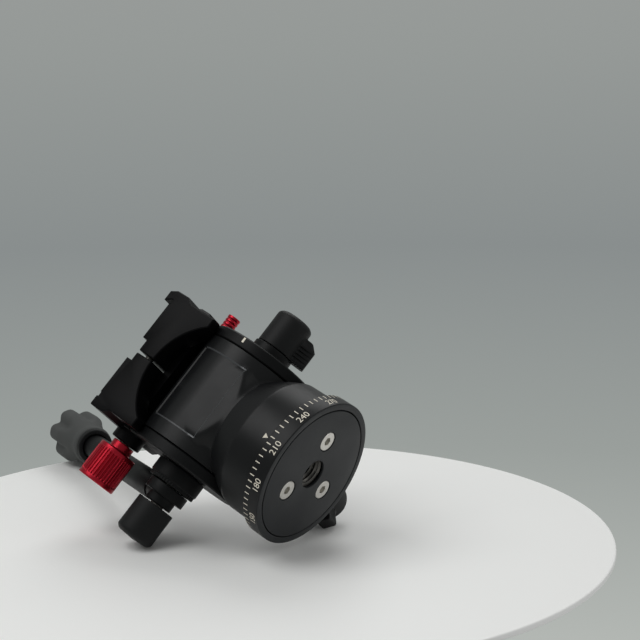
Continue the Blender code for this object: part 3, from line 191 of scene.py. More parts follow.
# %% Black turned anodised aluminium
turned_anodised, tree, shader = start(
    "black anodised aluminium, turned", "#111213", roughness=0.4, gloss=0.2,
)
place = add(tree, "ShaderNodeTexCoord")
rings = add(tree, "ShaderNodeTexWave", {
    "Vector": place.outputs["Object"], "Scale": 1 / (7.0 * MM), "Distortion": 0.6, "Detail": 1.0,
}, wave_type="BANDS", bands_direction="Z")
bumps(tree, shader, rings.outputs["Fac"], depth=0.0012)
uneven(tree, shader, low=0.34, high=0.44, size=11.0)
print("made", turned_anodised.name)

# %% [markdown]
# ## Painted highlight on the panel's wall
# The sloping walls of the bare panel get a lighter grey than the black anodising: a painted highlight,
# which draws a fine grey line round the panel.

# %% Panel wall, painted highlight
panel_wall_highlight = start("panel wall, painted highlight", "#4a4c4e", roughness=0.4, metallic=0.3)[0]
print("made", panel_wall_highlight.name)

# %% [markdown]
# ## Satin base face
# The face that goes against a tripod is turned across its flat side, so its tool rings run round the
# stud hole. It is a lighter, greyer black than the rest. Distance from the pan axis drives the rings.

# %% Dark turned face
TOOL_FEED = 0.45
face_satin, tree, shader = start("dark satin face, turned", "#1e2022", roughness=0.5, gloss=0.28)
place = add(tree, "ShaderNodeTexCoord")
flat = add(tree, "ShaderNodeVectorMath", {0: place.outputs["Object"], 1: (1, 1, 0)}, operation="MULTIPLY")
away = add(tree, "ShaderNodeVectorMath", {0: flat.outputs["Vector"]}, operation="LENGTH")
turns = add(tree, "ShaderNodeMath", {
    0: away.outputs["Value"], 1: 2 * math.pi / (TOOL_FEED * MM),
}, operation="MULTIPLY")
wave = add(tree, "ShaderNodeMath", {0: turns.outputs["Value"]}, operation="SINE")
bumps(tree, shader, wave.outputs["Value"], depth=0.0012)
uneven(tree, shader, low=0.42, high=0.52, size=14.0)
print("made", face_satin.name)

# %% [markdown]
# ## Red anodised aluminium
# The clamp knob and the safety pin are bright turned aluminium under a red dye. The metal shines through
# the dye, so this one is a metal with a coloured reflection and a tighter highlight.

# %% Red anodised aluminium
red_anodised, tree, shader = start(
    "red anodised aluminium, bright turned", "#a8182a", roughness=0.34, metallic=0.8,
)
grain(tree, shader, size=0.3, depth=0.004)
print("made", red_anodised.name)

# %% [markdown]
# ## Moulded plastic and rubber
# The T knobs are moulded in glass filled nylon from a spark eroded tool, which gives a fine dull grain.
# The grip at the end of the handle is moulded rubber, greyer and almost without a highlight.

# %% Nylon and rubber
moulded_nylon, tree, shader = start(
    "black moulded nylon, fine grain", "#0d0e0f", roughness=0.55, gloss=0.22,
)
grain(tree, shader, size=0.35, depth=0.02)
grip_rubber, tree, shader = start("dark grey moulded rubber", "#434544", roughness=0.75, gloss=0.35)
grain(tree, shader, size=0.6, depth=0.03)
print("made", moulded_nylon.name, "and", grip_rubber.name)

# %% [markdown]
# ## Steel and paint
# The base screws are zinc plated and bright. The tripod bush is plain machined steel with a film of oil,
# darker and duller. The scale is printed in a warm off white ink that fills its engraved lines.

# %% Zinc plated steel, machined steel and ink
zinc_steel, tree, shader = start("zinc plated steel", "#cfccc6", roughness=0.3, metallic=1.0)
grain(tree, shader, size=0.5, depth=0.003)
machined_steel = start("machined steel, oiled", "#5c5a57", roughness=0.4, metallic=1.0)[0]
scale_ink = start("off white scale ink", "#dcd6c6", roughness=0.6)[0]
print("made", zinc_steel.name, machined_steel.name, scale_ink.name)

# %% [markdown]
# ## From a grid of points to a mesh
# Nearly every piece is a grid: rows along it and columns round it. Where all points of a row fall
# together, on the axis, they are merged into a pole, which closes the end. The volume that the faces
# enclose tells whether they point outwards, and the order of their corners is turned if they don't.

# %% Surfaces on a grid
SMOOTH_ANGLE = math.radians(32)
MERGE = 0.0005 * MM


def put_in_scene(name, data):
    """An object at the origin that holds a mesh, a curve, a lamp or a camera."""
    made = bpy.data.objects.new(name, data)
    bpy.context.scene.collection.objects.link(made)
    return made


def smooth_with(mesh, finish):
    """Gives a mesh its one finish and smooth shading, but keeps the edges over an angle sharp."""
    mesh.materials.clear()
    mesh.materials.append(finish)
    mesh.shade_smooth()
    mesh.set_sharp_from_angle(angle=SMOOTH_ANGLE)


def make_object(name, points, faces, finish):
    """A mesh object at the origin, from points in mm and faces, merged, closed and facing outwards."""
    mesh = bpy.data.meshes.new(name)
    mesh.from_pydata((np.asarray(points) * MM).tolist(), [], faces)
    shape = bmesh.new()
    shape.from_mesh(mesh)
    bmesh.ops.remove_doubles(shape, verts=shape.verts, dist=MERGE)
    if shape.calc_volume(signed=True) < 0:
        bmesh.ops.reverse_faces(shape, faces=shape.faces)
    shape.to_mesh(mesh)
    shape.free()
    smooth_with(mesh, finish)
    return put_in_scene(name, mesh)


def grid_faces(rows, columns, ring=False):
    """Four corners for each cell of a grid; the columns close round, and so do the rows of a ring."""
    index = np.arange(rows * columns).reshape(rows, columns)
    low = index if ring else index[:-1]
    high = np.roll(index, -1, axis=0) if ring else index[1:]
    faces = np.stack([low, np.roll(low, -1, axis=1), np.roll(high, -1, axis=1), high], axis=-1)
    return faces.reshape(-1, 4).tolist()


def surface(name, points, finish, ring=False):
    """A piece from a grid of points, shaped (rows, columns, 3), whose columns close round."""
    return make_object(name, points.reshape(-1, 3), grid_faces(*points.shape[:2], ring), finish)


def dress(made, node):
    """Lets a piece move with its node's body and stand for it."""
    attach(made, body_of[node])
    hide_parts(node)
    return made


def paint(made, finish, pick):
    """Gives a second finish to the faces whose middles, as x, y and z in mm, pick() says yes to."""
    middles = np.empty(len(made.data.polygons) * 3)
    made.data.polygons.foreach_get("center", middles)
    picked = pick(*middles.reshape(-1, 3).T / MM)
    made.data.materials.append(finish)
    made.data.polygons.foreach_set("material_index", picked.astype(int))


def count(*pieces):
    """Says how many faces the pieces have."""
    for piece in pieces:
        print(piece.name, len(piece.data.polygons), "faces")


# %% [markdown]
# ## Rounded corners
# No real edge is sharp: the tool or the mould leaves a small radius, and it is this radius that catches
# the light. Each corner of an outline gives way to a short curve between two points on its edges.

# %% Rounding
LEAST_LENGTH = 1e-9
LARGEST_CUT = 0.45


def rounded(points, radius, steps=4, closed=False):
    """Rounds the corners of a line of points, shaped (n, ..., 2), over its first axis.

    A corner P becomes (1 - t)^2 A + 2 t (1 - t) P + t^2 B. A and B lie on its two edges, a radius away
    from P, but never past the middle of an edge. An open line keeps its two end points.
    """
    points = np.asarray(points, float)
    before, corner, after = np.roll(points, 1, axis=0), points, np.roll(points, -1, axis=0)
    if not closed:
        before, corner, after = points[:-2], points[1:-1], points[2:]
    back, ahead = before - corner, after - corner
    back_length = np.maximum(np.linalg.norm(back, axis=-1, keepdims=True), LEAST_LENGTH)
    ahead_length = np.maximum(np.linalg.norm(ahead, axis=-1, keepdims=True), LEAST_LENGTH)
    cut = np.minimum(radius, LARGEST_CUT * np.minimum(back_length, ahead_length))
    first, last = corner + back / back_length * cut, corner + ahead / ahead_length * cut
    t = np.linspace(0, 1, steps + 1).reshape((1, -1) + (1,) * (points.ndim - 1))
    curve = (1 - t) ** 2 * first[:, None] + 2 * t * (1 - t) * corner[:, None] + t ** 2 * last[:, None]
    curve = curve.reshape((-1,) + points.shape[1:])
    return curve if closed else np.concatenate([points[:1], curve, points[-1:]])


def stick(radius, start, end, edge=0.0):
    """The profile of a plain cylinder from start to end, with edges of a radius if there are any."""
    corners = [(0, start), (radius, start), (radius, end), (0, end)]
    return rounded(corners, edge) if edge else corners


def tube(inner, outer, start, end, edge):
    """The closed section of a plain ring from start to end, with rounded edges."""
    return rounded([(inner, start), (outer, start), (outer, end), (inner, end)], edge, closed=True)


def dense(points, step):
    """Puts points on a line of (x, y) at even steps of about a given length, keeping its own points."""
    lengths = np.linalg.norm(np.diff(points, axis=0), axis=1)
    along = np.concatenate([[0], np.cumsum(lengths)])
    even = np.linspace(0, along[-1], int(along[-1] / step) + 2)
    places = np.unique(np.concatenate([along, even]))
    return np.stack([np.interp(places, along, points[:, axis]) for axis in (0, 1)], axis=1)


# %% [markdown]
# ## Turned pieces
# A lathe makes most of this head. A turned piece is a profile of (radius, height) points carried round
# an axis. A function of angle and height may add to the radius, for ribs, lobes and threads.

# %% Turning
PAN_AXIS = np.array([0.0, 0.0, 1.0])
TILT_AXIS = np.array([1.0, 0.0, 0.0])
PAN_CENTRE = np.zeros(3)
SIDES, FEW_SIDES, MANY_SIDES = 96, 64, 180


def square_to(direction):
    """Two unit vectors square to a direction, right-handed with it: u, v, direction."""
    direction = np.asarray(direction, float) / np.linalg.norm(direction)
    helper = np.array([0.0, 0.0, 1.0]) if abs(direction[2]) < 0.9 else np.array([1.0, 0.0, 0.0])
    u = np.cross(helper, direction)
    u = u / np.linalg.norm(u)
    return u, np.cross(direction, u), direction


def carried(radius, height, centre, axes, angle):
    """Points centre + r (cos a u + sin a v) + h d, for arrays of radius and height over rows and angles."""
    u, v, d = (np.asarray(axis) for axis in axes)
    around = np.cos(angle)[None, :, None] * u + np.sin(angle)[None, :, None] * v
    return np.asarray(centre) + radius[..., None] * around + height[..., None] * d


def all_round(profile, sides):
    """The angles round an axis, and a profile's radius and height repeated for each of them."""
    angle = np.linspace(0, 2 * math.pi, sides, endpoint=False)
    radius = np.repeat(np.asarray(profile)[:, :1], sides, axis=1)
    height = np.repeat(np.asarray(profile)[:, 1:], sides, axis=1)
    return angle, radius, height


def turned(name, profile, centre, direction, finish, sides=SIDES, swell=None, ring=False):
    """A profile of (radius, height) carried round an axis; swell(angle, height) adds to the radius."""
    angle, radius, height = all_round(profile, sides)
    if swell:
        radius = np.where(radius > 0, radius + swell(angle[None, :], height), 0)
    return surface(name, carried(radius, height, centre, square_to(direction), angle), finish, ring)


print("turning works on", SIDES, "sides unless a piece asks for another number")

# %% [markdown]
# ## Slabs and cuts
# Cheeks, bridge and clamp jaws are milled from bar: an outline with a thickness. A slab is that outline
# carried along an axis, drawn in a little at both ends for its edge. Where a cutter went through a slab
# later, a Boolean does the same, and a narrow Bevel breaks the edges that it leaves.

# %% Slabs
SHARPEST_CORNER = 0.3
BROKEN_ANGLE = math.radians(38)


def inset(outline, distance):
    """Moves each corner of a closed outline inwards by a distance, along the bisector of its edges."""
    before = outline - np.roll(outline, 1, axis=0)
    after = np.roll(outline, -1, axis=0) - outline
    before = before / np.linalg.norm(before, axis=1, keepdims=True)
    after = after / np.linalg.norm(after, axis=1, keepdims=True)
    normal_before = np.stack([-before[:, 1], before[:, 0]], axis=1)
    normal_after = np.stack([-after[:, 1], after[:, 0]], axis=1)
    bisector = normal_before + normal_after
    scale = np.maximum(np.sum(bisector * normal_before, axis=1, keepdims=True), SHARPEST_CORNER)
    x, y = outline.T
    turn = np.sign(np.sum(x * np.roll(y, -1) - y * np.roll(x, -1)))
    return outline + bisector / scale * distance * turn


def slab(name, outline, axis, low, high, finish, edge=0.4):
    """An outline carried along X, Y or Z from low to high, with a small chamfer at both ends."""
    outline = np.asarray(outline, float)
    small = inset(outline, edge)
    sections = [(small, low), (outline, low + edge), (outline, high - edge), (small, high)]
    others = [i for i in range(3) if i != axis]
    points = np.zeros((len(sections), len(outline), 3))
    for row, (section, place) in enumerate(sections):
        points[row][:, others] = section
        points[row, :, axis] = place
    rows, columns = points.shape[:2]
    first_cap = list(range(columns))[::-1]
    last_cap = list(range((rows - 1) * columns, rows * columns))
    faces = grid_faces(rows, columns) + [first_cap, last_cap]
    return make_object(name, points.reshape(-1, 3), faces, finish)


def block(name, low, high, finish, edge=0.4):
    """A box between two corners as a slab along X."""
    (x0, y0, z0), (x1, y1, z1) = low, high
    return slab(name, [(y0, z0), (y1, z0), (y1, z1), (y0, z1)], 0, x0, x1, finish, edge)


def carve(made, cutters, edge=0.0):
    """Cuts the cutters out of a piece, breaks the new edges, and removes the cutters."""
    for cutter in cutters:
        step = made.modifiers.new("cut", "BOOLEAN")
        step.operation = "DIFFERENCE"
        step.solver = "EXACT"
        step.object = cutter
    if edge:
        bevel = made.modifiers.new("broken edges", "BEVEL")
        bevel.width = edge * MM
        bevel.segments = 2
        bevel.limit_method = "ANGLE"
        bevel.angle_limit = BROKEN_ANGLE
    graph = bpy.context.evaluated_depsgraph_get()
    finish = made.data.materials[0]
    mesh = bpy.data.meshes.new_from_object(made.evaluated_get(graph))
    made.modifiers.clear()
    made.data = mesh
    mesh.polygons.foreach_set("material_index", np.zeros(len(mesh.polygons), int))
    smooth_with(mesh, finish)
    for cutter in cutters:
        bpy.data.objects.remove(cutter)
    return made


def together(name, *pieces):
    """Puts the shells of several pieces into the first one's mesh."""
    shape = bmesh.new()
    for piece in pieces:
        shape.from_mesh(piece.data)
    first = pieces[0]
    shape.to_mesh(first.data)
    shape.free()
    first.name = name
    first.data.set_sharp_from_angle(angle=SMOOTH_ANGLE)
    for piece in pieces[1:]:
        bpy.data.objects.remove(piece)
    return first


print("slabs and cuts are ready")

# %% [markdown]
# ## Pan base: scale ring and face
# The base is a ring with the pan scale round it and a satin face plate let into it. The ring's lowest
# edge has the lighter satin of the face. Both are turned sections whose rows close on themselves.

# %% Scale ring and face plate
low, high = box_of("scale_ring")
RING_RADIUS, RING_TOP = high[0], high[2]
FACE_RADIUS, _, FACE_TOP = box_of("base_disc")[1]
SHELF_RADIUS, LIP_RADIUS, SHELF_TOP, RING_RIM, FIT = 18.0, 19.8, 4.9, 0.15, 0.3
ring_section = [
    (FACE_RADIUS + FIT, 0), (RING_RADIUS, 0), (RING_RADIUS, RING_TOP), (LIP_RADIUS, RING_TOP),
    (LIP_RADIUS, SHELF_TOP), (SHELF_RADIUS, SHELF_TOP), (SHELF_RADIUS, FACE_TOP + FIT),
    (FACE_RADIUS + FIT, FACE_TOP + FIT),
]
scale_ring = dress(turned(
    "pan_scale_ring", rounded(ring_section, 0.4, closed=True), PAN_CENTRE, PAN_AXIS, turned_anodised,
    sides=MANY_SIDES, ring=True,
), "scale_ring")
paint(scale_ring, face_satin, lambda x, y, z: z < RING_RIM)

HOLE_RADIUS, HOLE_DEPTH, BUSH_RADIUS = 5.07, 1.0, box_of("thread_bush")[1][0]
face_section = [
    (HOLE_RADIUS, 0), (FACE_RADIUS, 0), (FACE_RADIUS, FACE_TOP), (BUSH_RADIUS + FIT, FACE_TOP),
    (BUSH_RADIUS + FIT, HOLE_DEPTH), (HOLE_RADIUS, HOLE_DEPTH),
]
face_plate = turned(
    "base_face_plate", rounded(face_section, 0.25, closed=True), PAN_CENTRE, PAN_AXIS, face_satin,
    sides=144, ring=True,
)

# %% [markdown]
# The face is held by three countersunk screws. Each seat is a cone, and each screw has a flat head with
# a hexagon socket. In polar form a hexagon is a / cos(angle to the middle of the nearest flat).

# %% Screw seats and screws
low, high = box_of("base_screw_1")
SCREW_HEAD = middle_of("base_screw_1")[1][0]
SCREW_SUNK, SCREW_LENGTH = low[2], high[2] - low[2]
SCREW_SHANK, SCREW_HEAD_HEIGHT, SCREW_EDGE, SCREW_LAND = 1.7, 1.8, 0.15, 0.25
SOCKET_FLAT, SOCKET_DEPTH, SOCKET_EDGE = 1.26, 1.3, 0.12
SEAT_SPARE, SCREW_SIDES = 1.0, 48


def screw(name, place, axis):
    """A countersunk screw: rows of socket floor, socket mouth, head edge, cone and shank."""
    angle = np.linspace(0, 2 * math.pi, SCREW_SIDES, endpoint=False)
    to_flat = (angle + math.pi / 6) % (math.pi / 3) - math.pi / 6
    socket = SOCKET_FLAT / np.cos(to_flat)
    circle = np.ones_like(angle)
    radii = [
        0 * circle, socket, socket, socket + SOCKET_EDGE, SCREW_HEAD * circle - SCREW_EDGE,
        SCREW_HEAD * circle, SCREW_HEAD * circle, SCREW_SHANK * circle, SCREW_SHANK * circle, 0 * circle,
    ]
    heights = [
        -SOCKET_DEPTH, -SOCKET_DEPTH, -SOCKET_EDGE, 0, 0, -SOCKET_EDGE, -SCREW_LAND, -SCREW_HEAD_HEIGHT,
        -SCREW_LENGTH, -SCREW_LENGTH,
    ]
    height = np.repeat(np.array(heights)[:, None], len(angle), axis=1)
    points = carried(np.array(radii), height, place, square_to(axis), angle)
    return surface(name, points, zinc_steel)


seats = []
for number in (1, 2, 3):
    place = middle_of(f"base_screw_{number}")[0] * (1, 1, 0)
    seat_profile = [
        (0, SEAT_SPARE), (SCREW_HEAD + FIT, SEAT_SPARE), (SCREW_HEAD + FIT, -SCREW_SUNK),
        (SCREW_SHANK + FIT, -SCREW_SUNK - SCREW_HEAD_HEIGHT), (SCREW_SHANK + FIT, -SCREW_LENGTH),
        (0, -SCREW_LENGTH),
    ]
    seats.append(turned(f"seat_{number}", seat_profile, place, -PAN_AXIS, face_satin, SCREW_SIDES))
    sunk = place + PAN_AXIS * SCREW_SUNK
    dress(screw(f"base_screw_{number}_zinc", sunk, -PAN_AXIS), f"base_screw_{number}")
carve(face_plate, seats)
dress(face_plate, "base_disc")
count(scale_ring, face_plate)

# %% [markdown]
# ## Tripod bush
# The hole takes a 3/8 inch stud with 16 threads to the inch. Its thread is a helix, so the bore's radius
# depends on the height less one pitch for each turn: major - depth * triangle((h - pitch * a / 2 pi) /
# pitch), where the triangle goes from 0 to 1 and back within a pitch.

# %% Threaded bush
THREAD_MAJOR, THREAD_MINOR, THREAD_PITCH = 4.76, 4.05, 1.5875
THREAD_START, THREAD_RUN_IN, RIDGE_GAIN, RIDGE_SHIFT = 0.5, 0.1, 1.3, 0.1
bush_bottom, bush_top = (corner[2] for corner in box_of("thread_bush"))
bore_heights = np.linspace(bush_top, bush_bottom + THREAD_START, 110)
bush_section = np.concatenate([
    [(THREAD_MAJOR + FIT, bush_bottom), (BUSH_RADIUS, bush_bottom), (BUSH_RADIUS, bush_top)],
    np.stack([np.full_like(bore_heights, THREAD_MAJOR), bore_heights], axis=1),
])


def thread(angle, height):
    """-depth * the triangle wave, with crest and root cut flat, at heights inside the bush only."""
    turn = (height / THREAD_PITCH - angle / (2 * math.pi)) % 1
    ridge = 1 - np.abs(2 * turn - 1)
    inside = (height > bush_bottom + THREAD_START - THREAD_RUN_IN) & (height < bush_top - 0.01)
    return -(THREAD_MAJOR - THREAD_MINOR) * np.clip(ridge * RIDGE_GAIN - RIDGE_SHIFT, 0, 1) * inside


bush = dress(turned(
    "tripod_thread_bush", bush_section, PAN_CENTRE, PAN_AXIS, machined_steel, swell=thread, ring=True,
), "thread_bush")
count(bush)

# %% [markdown]
# ## Scale marks
# The scale has a tick every 5 degrees and a number every 30. Numbers on a dial are plain, so Blender's
# own font serves. A number is made flat, turned into a mesh, and then bent round the ring: its x becomes
# an angle, x / R, and its y a height. Ticks are narrow patches on the same cylinder.

# %% Ticks and numbers on the ring
INK_LIFT = 0.03
SIDE_TO_SIDE = np.array([-0.5, 0.5, 0.5, -0.5])
ZERO_LABEL, ZERO_ANGLE = 210, math.radians(-5.4)
TICK_WIDTH, TICK_TOP, TICK_LENGTH = 0.32, 6.05, 1.75
DIGIT_HEIGHT, DIGIT_BASE = 2.25, 1.15


def on_ring(across, up, radius):
    """Bends flat points round the pan axis: angle a = across / R from -Y towards +X, height = up."""
    angle = across / radius
    return np.stack([radius * np.sin(angle), -radius * np.cos(angle), up], axis=-1)


def patches(centres, width, low, high, radius):
    """Narrow upright patches on a cylinder: angle of the middle times the radius, half a width each way."""
    across = centres[:, None] * radius + SIDE_TO_SIDE * width
    up = np.broadcast_to(np.array([low, low, high, high]), across.shape)
    points = on_ring(across, up, radius).reshape(-1, 3)
    return points, np.arange(len(points)).reshape(-1, 4).tolist()


def flat_text(words, height):
    """Points and faces of flat words: outlines scaled to a height in mm, middle at x = 0, foot at y = 0."""
    curve = bpy.data.curves.new("digits", "FONT")
    curve.body = words
    curve.align_x = "CENTER"
    holder = put_in_scene("digits", curve)
    graph = bpy.context.evaluated_depsgraph_get()
    mesh = bpy.data.meshes.new_from_object(holder.evaluated_get(graph))
    points = np.empty(len(mesh.vertices) * 3)
    mesh.vertices.foreach_get("co", points)
    points = points.reshape(-1, 3)
    scale = height / np.ptp(points[:, 1])
    faces = [tuple(face.vertices) for face in mesh.polygons]
    bpy.data.objects.remove(holder)
    bpy.data.meshes.remove(mesh)
    return points[:, 0] * scale, (points[:, 1] - points[:, 1].min()) * scale, faces


def open_mesh(name, points, faces, finish):
    """A mesh of loose flat patches, which encloses nothing and keeps the order of its corners."""
    mesh = bpy.data.meshes.new(name)
    mesh.from_pydata((np.asarray(points) * MM).tolist(), [], faces)
    mesh.materials.append(finish)
    return put_in_scene(name, mesh)


ink_radius = RING_RADIUS + INK_LIFT
tick_angles = ZERO_ANGLE + np.radians(np.arange(0, 360, 5))
tick_points, ink_faces = patches(tick_angles, TICK_WIDTH, TICK_TOP - TICK_LENGTH, TICK_TOP, ink_radius)
ink_points, used = [tick_points], len(tick_points)
for label in range(0, 360, 30):
    across, up, faces = flat_text(str(label), DIGIT_HEIGHT)
    middle = (ZERO_ANGLE + math.radians(label - ZERO_LABEL)) * ink_radius
    ink_points.append(on_ring(across + middle, up + DIGIT_BASE, ink_radius))
    ink_faces += [tuple(corner + used for corner in face) for face in faces]
    used += len(across)
scale_marks = open_mesh("pan_scale_marks", np.concatenate(ink_points), ink_faces, scale_ink)
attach(scale_marks, "base")
count(scale_marks)

# %% [markdown]
# ## Pan body
# The body is one casting: a round foot with a sloping shoulder, and a short drum across its top that the
# tilt cartridge sits in. The foot is turned. Two shallow cylinders are then cut out of its shoulder,
# because the round cheeks at both ends of the drum dip into it.

# %% Round foot of the body
low, high = box_of("head_casting")
BODY_RADIUS, BODY_BOTTOM, BODY_TOP = high[0], low[2], 18.0
SHOULDER_RADIUS, SHOULDER_TOP = 20.4, 27.5
TILT_HEIGHT = middle_of("tilt_washer")[0][2]
DRUM_RADIUS, DRUM_HALF = round(high[2] - TILT_HEIGHT, 4), 19.1
CHEEK_ROOM, CHEEK_ROOM_END = 20.5, 27.0
tilt_centre = np.array([0, 0, TILT_HEIGHT])
foot_profile = rounded([
    (0, BODY_BOTTOM), (BODY_RADIUS, BODY_BOTTOM), (BODY_RADIUS, BODY_TOP),
    (SHOULDER_RADIUS, SHOULDER_TOP), (0, SHOULDER_TOP),
], 0.6)
foot = turned("foot", dense(foot_profile, 0.8), PAN_CENTRE, PAN_AXIS, turned_anodised, sides=MANY_SIDES)
cheek_cutters = [
    turned(
        f"cheek_room_{side}", stick(CHEEK_ROOM, DRUM_HALF, CHEEK_ROOM_END), tilt_centre, TILT_AXIS * side,
        black_anodised, sides=144,
    )
    for side in (-1, 1)
]
carve(foot, cheek_cutters)
count(foot)

# %% [markdown]
# ## Drum with its bare panel
# The drum's section is a line that climbs the flat front, follows the round top and comes down the back.
# It is carried along X. On the front lies a shallow rectangular recess: where both the place along X and
# the place along the line are inside it, the surface sinks by its depth, with a sloping wall half a
# millimetre wide. Below the tilt axis the front also stays inside a round neck: its distance from the
# middle is the larger of the drum's circle and a soft minimum of the flat front f and g = sqrt(R^2 - x^2).
# The soft minimum is (f^-b + g^-b)^(-1/b), and R grows smoothly from the column to the neck.

# %% Drum
PANEL_LEFT, PANEL_RIGHT, PANEL_DEPTH, PANEL_WALL = -13.6, 13.9, 0.4, 0.5
PANEL_START, PANEL_BOTTOM, WALL_SHARE = math.radians(50), 33.4, 0.05
NECK_FOOT, DRUM_APEX = 16.5, 8.0
NECK_HALF, NECK_ROUND, NECK_WIDTH, COLUMN_ROUND, BLEND = 19.95, 23.9, 18.9, 20.35, 60.0


def with_edges(values, edges, wall):
    """Adds grid lines on both sides of each edge, so that a narrow wall is drawn sharply."""
    extra = np.concatenate([[edge - wall, edge, edge + wall] for edge in edges])
    return np.unique(np.concatenate([values, extra]))


def ramp(values, low, high, wall):
    """1 between low and high, falling to 0 over the wall outside them."""
    return np.clip(np.minimum((values - low) / wall, (high - values) / wall) + 1, 0, 1)


def panel_share(run, x):
    """1 on the recess's floor, falling to 0 over its wall: the ramp along the line times that along X."""
    share = ramp(run, PANEL_BOTTOM - NECK_FOOT, flat_run + panel_run, PANEL_WALL)
    return share * ramp(x, PANEL_LEFT, PANEL_RIGHT, PANEL_WALL)


panel_run = (math.pi / 2 - PANEL_START) * DRUM_RADIUS
flat_run = TILT_HEIGHT - NECK_FOOT
round_run = math.pi * DRUM_RADIUS
along = with_edges(
    np.concatenate([np.linspace(0, flat_run, 50), flat_run + np.linspace(0, round_run, 90),
                    flat_run + round_run + np.linspace(0, flat_run, 50)]),
    [PANEL_BOTTOM - NECK_FOOT, flat_run + panel_run], PANEL_WALL,
)
widths = with_edges(np.linspace(-DRUM_HALF, DRUM_HALF, 60), [PANEL_LEFT, PANEL_RIGHT], PANEL_WALL)
bend = np.clip((along - flat_run) / DRUM_RADIUS, 0, math.pi)
climb = np.minimum(along, flat_run) - flat_run - np.maximum(along - flat_run - round_run, 0)
sunk = PANEL_DEPTH * panel_share(along[None, :], widths[:, None])
section_radius = np.where((bend == 0) | (bend == math.pi), NECK_HALF, DRUM_RADIUS)
reach = np.repeat(section_radius[None, :], len(widths), axis=0)
wide = np.repeat(widths[:, None], len(along), axis=1)
depth = reach * np.cos(bend)[None, :]
rise = TILT_HEIGHT + reach * np.sin(bend)[None, :] + climb[None, :]
below = climb < 0
round_front = np.sqrt(np.clip(DRUM_RADIUS ** 2 - climb ** 2, 0, None))[None, :]
flare = np.clip((rise - SHOULDER_TOP) / (PANEL_BOTTOM - SHOULDER_TOP), 0, 1)
neck_round = COLUMN_ROUND + (NECK_ROUND - COLUMN_ROUND) * flare ** 2 * (3 - 2 * flare)
neck_front = np.sqrt(neck_round ** 2 - wide ** 2) * (np.abs(wide) < NECK_WIDTH)
soft_front = (np.abs(depth) ** -BLEND + np.maximum(neck_front, 1) ** -BLEND) ** (-1 / BLEND)
kept_front = np.maximum(soft_front, round_front)
depth = np.where(below[None, :], np.sign(depth) * kept_front, depth) - sunk * np.cos(bend)[None, :]
rise = rise - sunk * np.sin(bend)[None, :]
drum_points = np.stack([wide, -depth, rise], axis=-1)
drum_ends = [
    np.tile([x, 0, TILT_HEIGHT - DRUM_APEX], (1, len(along), 1)) for x in (-DRUM_HALF, DRUM_HALF)
]
drum = surface("drum", np.concatenate([drum_ends[0], drum_points, drum_ends[1]]), black_anodised)

BOSS_RADIUS, BOSS_START, BOSS_END = 5.5, 15, box_of("head_casting")[1][1]
PAN_LOCK_HEIGHT = middle_of("pan_lock_stud")[0][2]
pan_boss = turned(
    "pan_boss", stick(BOSS_RADIUS, BOSS_START, BOSS_END, 0.5), (0, 0, PAN_LOCK_HEIGHT), (0, 1, 0),
    black_anodised, sides=FEW_SIDES,
)
casting = dress(together("pan_body_casting", foot, drum, pan_boss), "head_casting")


def on_wall(x, y, z):
    """Which faces lie on the recess's wall: those with neither none nor all of its depth."""
    over = np.maximum(z - TILT_HEIGHT, 0)
    climbed = np.minimum(z - NECK_FOOT, flat_run) + DRUM_RADIUS * np.arctan2(over, np.maximum(-y, 0.1))
    share = panel_share(climbed, x)
    outside = (np.hypot(y, over) > DRUM_RADIUS - 1) & (y < 0) & (climbed < flat_run + panel_run)
    return (share > WALL_SHARE) & (share < 1 - WALL_SHARE) & outside


# The recess's wall takes the lighter grey of the painted highlight.
paint(casting, panel_wall_highlight, on_wall)
count(casting)

# %% [markdown]
# The index mark of the pan scale is a small inked triangle on the body, with its point towards the
# scale. It lies on the body's cylinder, just above the surface.

# %% Index triangle
INDEX_ANGLE, INDEX_WIDTH, INDEX_LOW, INDEX_HIGH = math.radians(-2.1), 1.9, 7.6, 9.3
index_radius = BODY_RADIUS + INK_LIFT
index_across = INDEX_ANGLE * index_radius + np.array([0, 0.5, -0.5]) * INDEX_WIDTH
index_mark = open_mesh(
    "pan_index_mark", on_ring(index_across, np.array([INDEX_LOW, INDEX_HIGH, INDEX_HIGH]), index_radius),
    [(0, 1, 2)], scale_ink,
)
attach(index_mark, "pan_body")
count(index_mark)

# %% [markdown]
# ## T knobs
# Each lock has a moulded knob: a round hub with a domed end and one flat wing to push. Seen along its
# axis the knob is star shaped, so a radius for each angle describes it: the larger of the hub's circle
# and the wing's rounded rectangle, blended by a high power so that a small fillet is left between them.

# %% T knob surface
HUB_RADIUS, KNOB_LENGTH, KNOB_CROWN, KNOB_NOSE = 6.9, 13.6, 1.6, 5.6
WING_REACH, WING_HALF, WING_TOP, WING_CHAMFER = 12.0, 2.9, 9.6, 2.6
RIB_COUNT, RIB_DEPTH, KNOB_EDGE = 5, 0.4, 0.6
SLOPE_START = WING_TOP - WING_CHAMFER
WING_SIDE, WING_FRONT, WING_COLUMNS = 1.7, 0.16, (70, 24, 70, 60)
RIB_GAIN, RIB_SHIFT, TIP_START, TIP_BLEND = 1.6, 0.3, 0.9, 0.05
KNOB_ROUND, KNOB_FOOT_ROUND = 0.7, 0.55


def knob_radius(angle, half):
    """(hub^q + wing^q)^(1/q), where the wing is ((cos a / reach)^p + (|sin a| / half)^p)^(-1/p)."""
    p, q = 10, 14
    ahead = np.maximum(np.cos(angle), 1e-6)
    wing = ((ahead / WING_REACH) ** p + (np.abs(np.sin(angle)) / half) ** p) ** (-1 / p)
    wing = np.where(np.cos(angle) > 0, wing, 0)
    return (HUB_RADIUS ** q + wing ** q) ** (1 / q)


